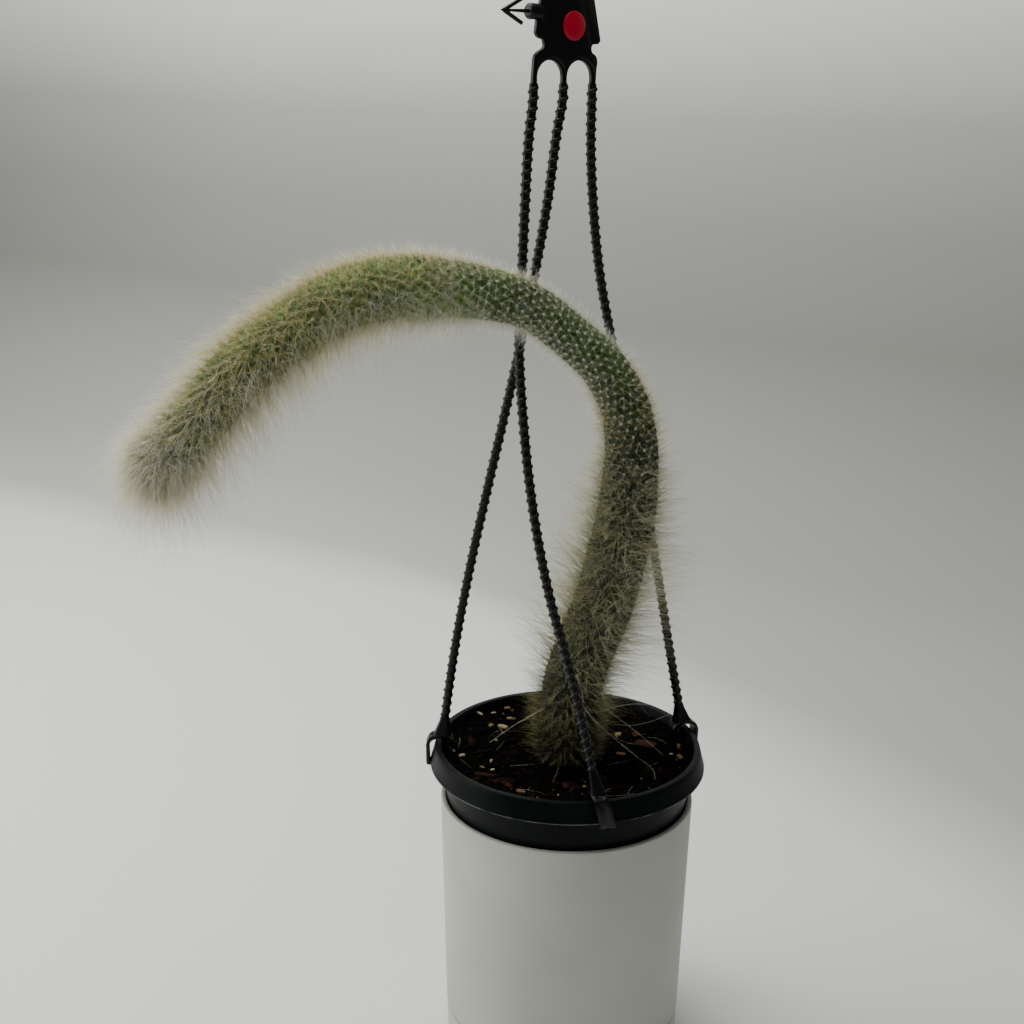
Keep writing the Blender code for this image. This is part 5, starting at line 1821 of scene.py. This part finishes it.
# Pale grit, white specks and red-brown bark: x, y, length, width, turn in
# degrees, and what it is.
BITS = np.array((
    (-0.0279, 0.0398, 0.0042, 0.0026, 10, 0.80), (-0.0320, 0.0320, 0.0050, 0.0030, 150, 0.82),
    (-0.0381, 0.0307, 0.0030, 0.0022, 60, 0.80), (-0.0300, 0.0485, 0.0028, 0.0018, 20, 0.74),
    (0.0275, 0.0268, 0.0044, 0.0032, 30, 0.78), (0.0270, 0.0040, 0.0048, 0.0024, 155, 0.72),
    (0.0558, 0.0041, 0.0036, 0.0024, 80, 0.72), (0.0550, -0.0072, 0.0036, 0.0026, 110, 0.70),
    (-0.0229, -0.0443, 0.0040, 0.0022, 170, 0.72), (0.0075, -0.0433, 0.0042, 0.0018, 175, 0.78),
    (-0.0375, -0.0050, 0.0022, 0.0014, 75, 0.98), (-0.0366, -0.0150, 0.0020, 0.0015, 20, 0.95),
    (0.0511, -0.0025, 0.0018, 0.0012, 0, 0.95), (-0.0440, 0.0405, 0.0034, 0.0014, 140, 0.90),
    (-0.0370, 0.0420, 0.0026, 0.0012, 30, 0.88), (-0.0568, -0.0022, 0.0060, 0.0010, 118, 0.90),
    (-0.0517, -0.0069, 0.0028, 0.0020, 20, 0.92), (0.0402, 0.0145, 0.0120, 0.0052, 140, 0.55),
    (0.0360, 0.0245, 0.0070, 0.0040, 100, 0.52), (-0.0400, -0.0270, 0.0100, 0.0030, 165, 0.50),
    (-0.0345, -0.0300, 0.0110, 0.0034, 150, 0.47), (-0.0300, -0.0325, 0.0090, 0.0026, 125, 0.52),
    (-0.0014, -0.0320, 0.0080, 0.0034, 100, 0.50), (-0.0050, -0.0300, 0.0056, 0.0026, 30, 0.44),
    (0.0010, -0.0370, 0.0050, 0.0024, 70, 0.46), (0.0180, -0.0410, 0.0040, 0.0022, 40, 0.42),
    (0.0440, -0.0180, 0.0050, 0.0024, 60, 0.40), (-0.0480, 0.0120, 0.0060, 0.0026, 100, 0.40),
    (0.0300, 0.0420, 0.0052, 0.0030, 30, 0.46), (0.0120, 0.0460, 0.0046, 0.0026, 70, 0.42),
))

x, y, length, width, turn, kinds = BITS.T
sizes = np.column_stack([length, width, np.minimum(width * 0.8, BIT_HEIGHT)])
bases = turned_bases(np.radians(turn), *chance.normal(0.0, 0.15, (2, len(BITS))))
lay("grit_and_bark", model_chip(), on_soil(x, y) + (0.0, 0.0, BIT_LIFT), bases, sizes, kinds)

# %% [markdown]
# Hairs break off and lie about on the soil, thin and pale, and a few long ones
# reach from the stem over the pot's edge.

# %% Loose hairs and rootlets
LOOSE_HAIRS = 40
ROOTLETS = 40
LOOSE_RING = (0.0180, 0.0560)
LOOSE_LIFT = 0.0008
LOOSE_REACH = 0.0590
LONG_HAIR_RADIUS = 0.00009
LONG_HAIR_SHADE = 0.95
LONG_HAIRS = (
    ((0.0060, -0.0155, 0.1830), (0.0120, -0.0180, 0.1770), (0.0214, -0.0185, 0.1680),
     (0.0320, -0.0190, 0.1590), (0.0404, -0.0195, 0.1525), (0.0408, -0.0300, 0.1520)),
    ((0.0230, 0.0060, 0.1640), (0.0320, 0.0050, 0.1640), (0.0420, 0.0070, 0.1655), (0.0530, 0.0110, 0.1685)),
    ((-0.0120, -0.0120, 0.1800), (-0.0260, -0.0180, 0.1740), (-0.0380, -0.0210, 0.1660)),
    ((0.0200, -0.0060, 0.1760), (0.0330, -0.0120, 0.1680), (0.0460, -0.0150, 0.1575)),
    ((0.0180, 0.0100, 0.1700), (0.0330, 0.0220, 0.1680), (0.0480, 0.0300, 0.1640)),
)


def lie_about(name, count, length, width, shade, material, slot):
    """Bent hairs that lie on the soil."""
    places = strewn(count, *LOOSE_RING)
    many = len(places)
    turn = chance.uniform(0, 2 * math.pi, many)
    ways = unit(np.column_stack([np.cos(turn), np.sin(turn), chance.uniform(0.05, 0.35, many)]))
    bends = np.column_stack([chance.normal(0.0, 0.35, (many, 2)), -ways[:, 2] * 0.9])
    lengths = length * chance.uniform(0.5, 1.3, many)
    for _ in range(6):
        tips = places + (ways + bends) * lengths[:, None]
        lengths = np.where(np.hypot(tips[:, 0], tips[:, 1]) > LOOSE_REACH, lengths * 0.75, lengths)
    roots = places + (0.0, 0.0, LOOSE_LIFT)
    shades = np.clip(chance.normal(shade, 0.12, many), 0.0, 1.0)
    hairs = plant(name, 3, roots, ways, bends, lengths, np.full(many, width), shades)
    store(hairs, "kind", np.repeat(shades, len(hairs.data.vertices) // many))
    finish(hairs, material, slot)


def long_hair(number, points):
    """One long loose hair along given points."""
    route = Route(points, 0.001)

    def shape(around, along_it):
        place, _, side, up, _ = route.at(along_it * route.length)
        radius = LONG_HAIR_RADIUS * (1 - 0.6 * along_it)
        return place + spokes(side, up, 2 * math.pi * around) * radius[:, None]

    hair = rolled(f"long_hair_{number}", 4, 24, shape, merge=0.000002)
    count = len(hair.data.vertices)
    store(hair, "shade", np.full(count, LONG_HAIR_SHADE))
    store(hair, "out", np.full(count, 1.0))
    finish(hair, old_hair, "cactus_skin_and_hair")


lie_about("loose_hairs", LOOSE_HAIRS, length=0.016, width=0.00005, shade=0.75,
          material=old_hair, slot="cactus_skin_and_hair")
lie_about("rootlets", ROOTLETS, length=0.009, width=0.00016, shade=0.34, material=mix, slot="peat_and_bark")
for number, points in enumerate(LONG_HAIRS):
    long_hair(number, points)
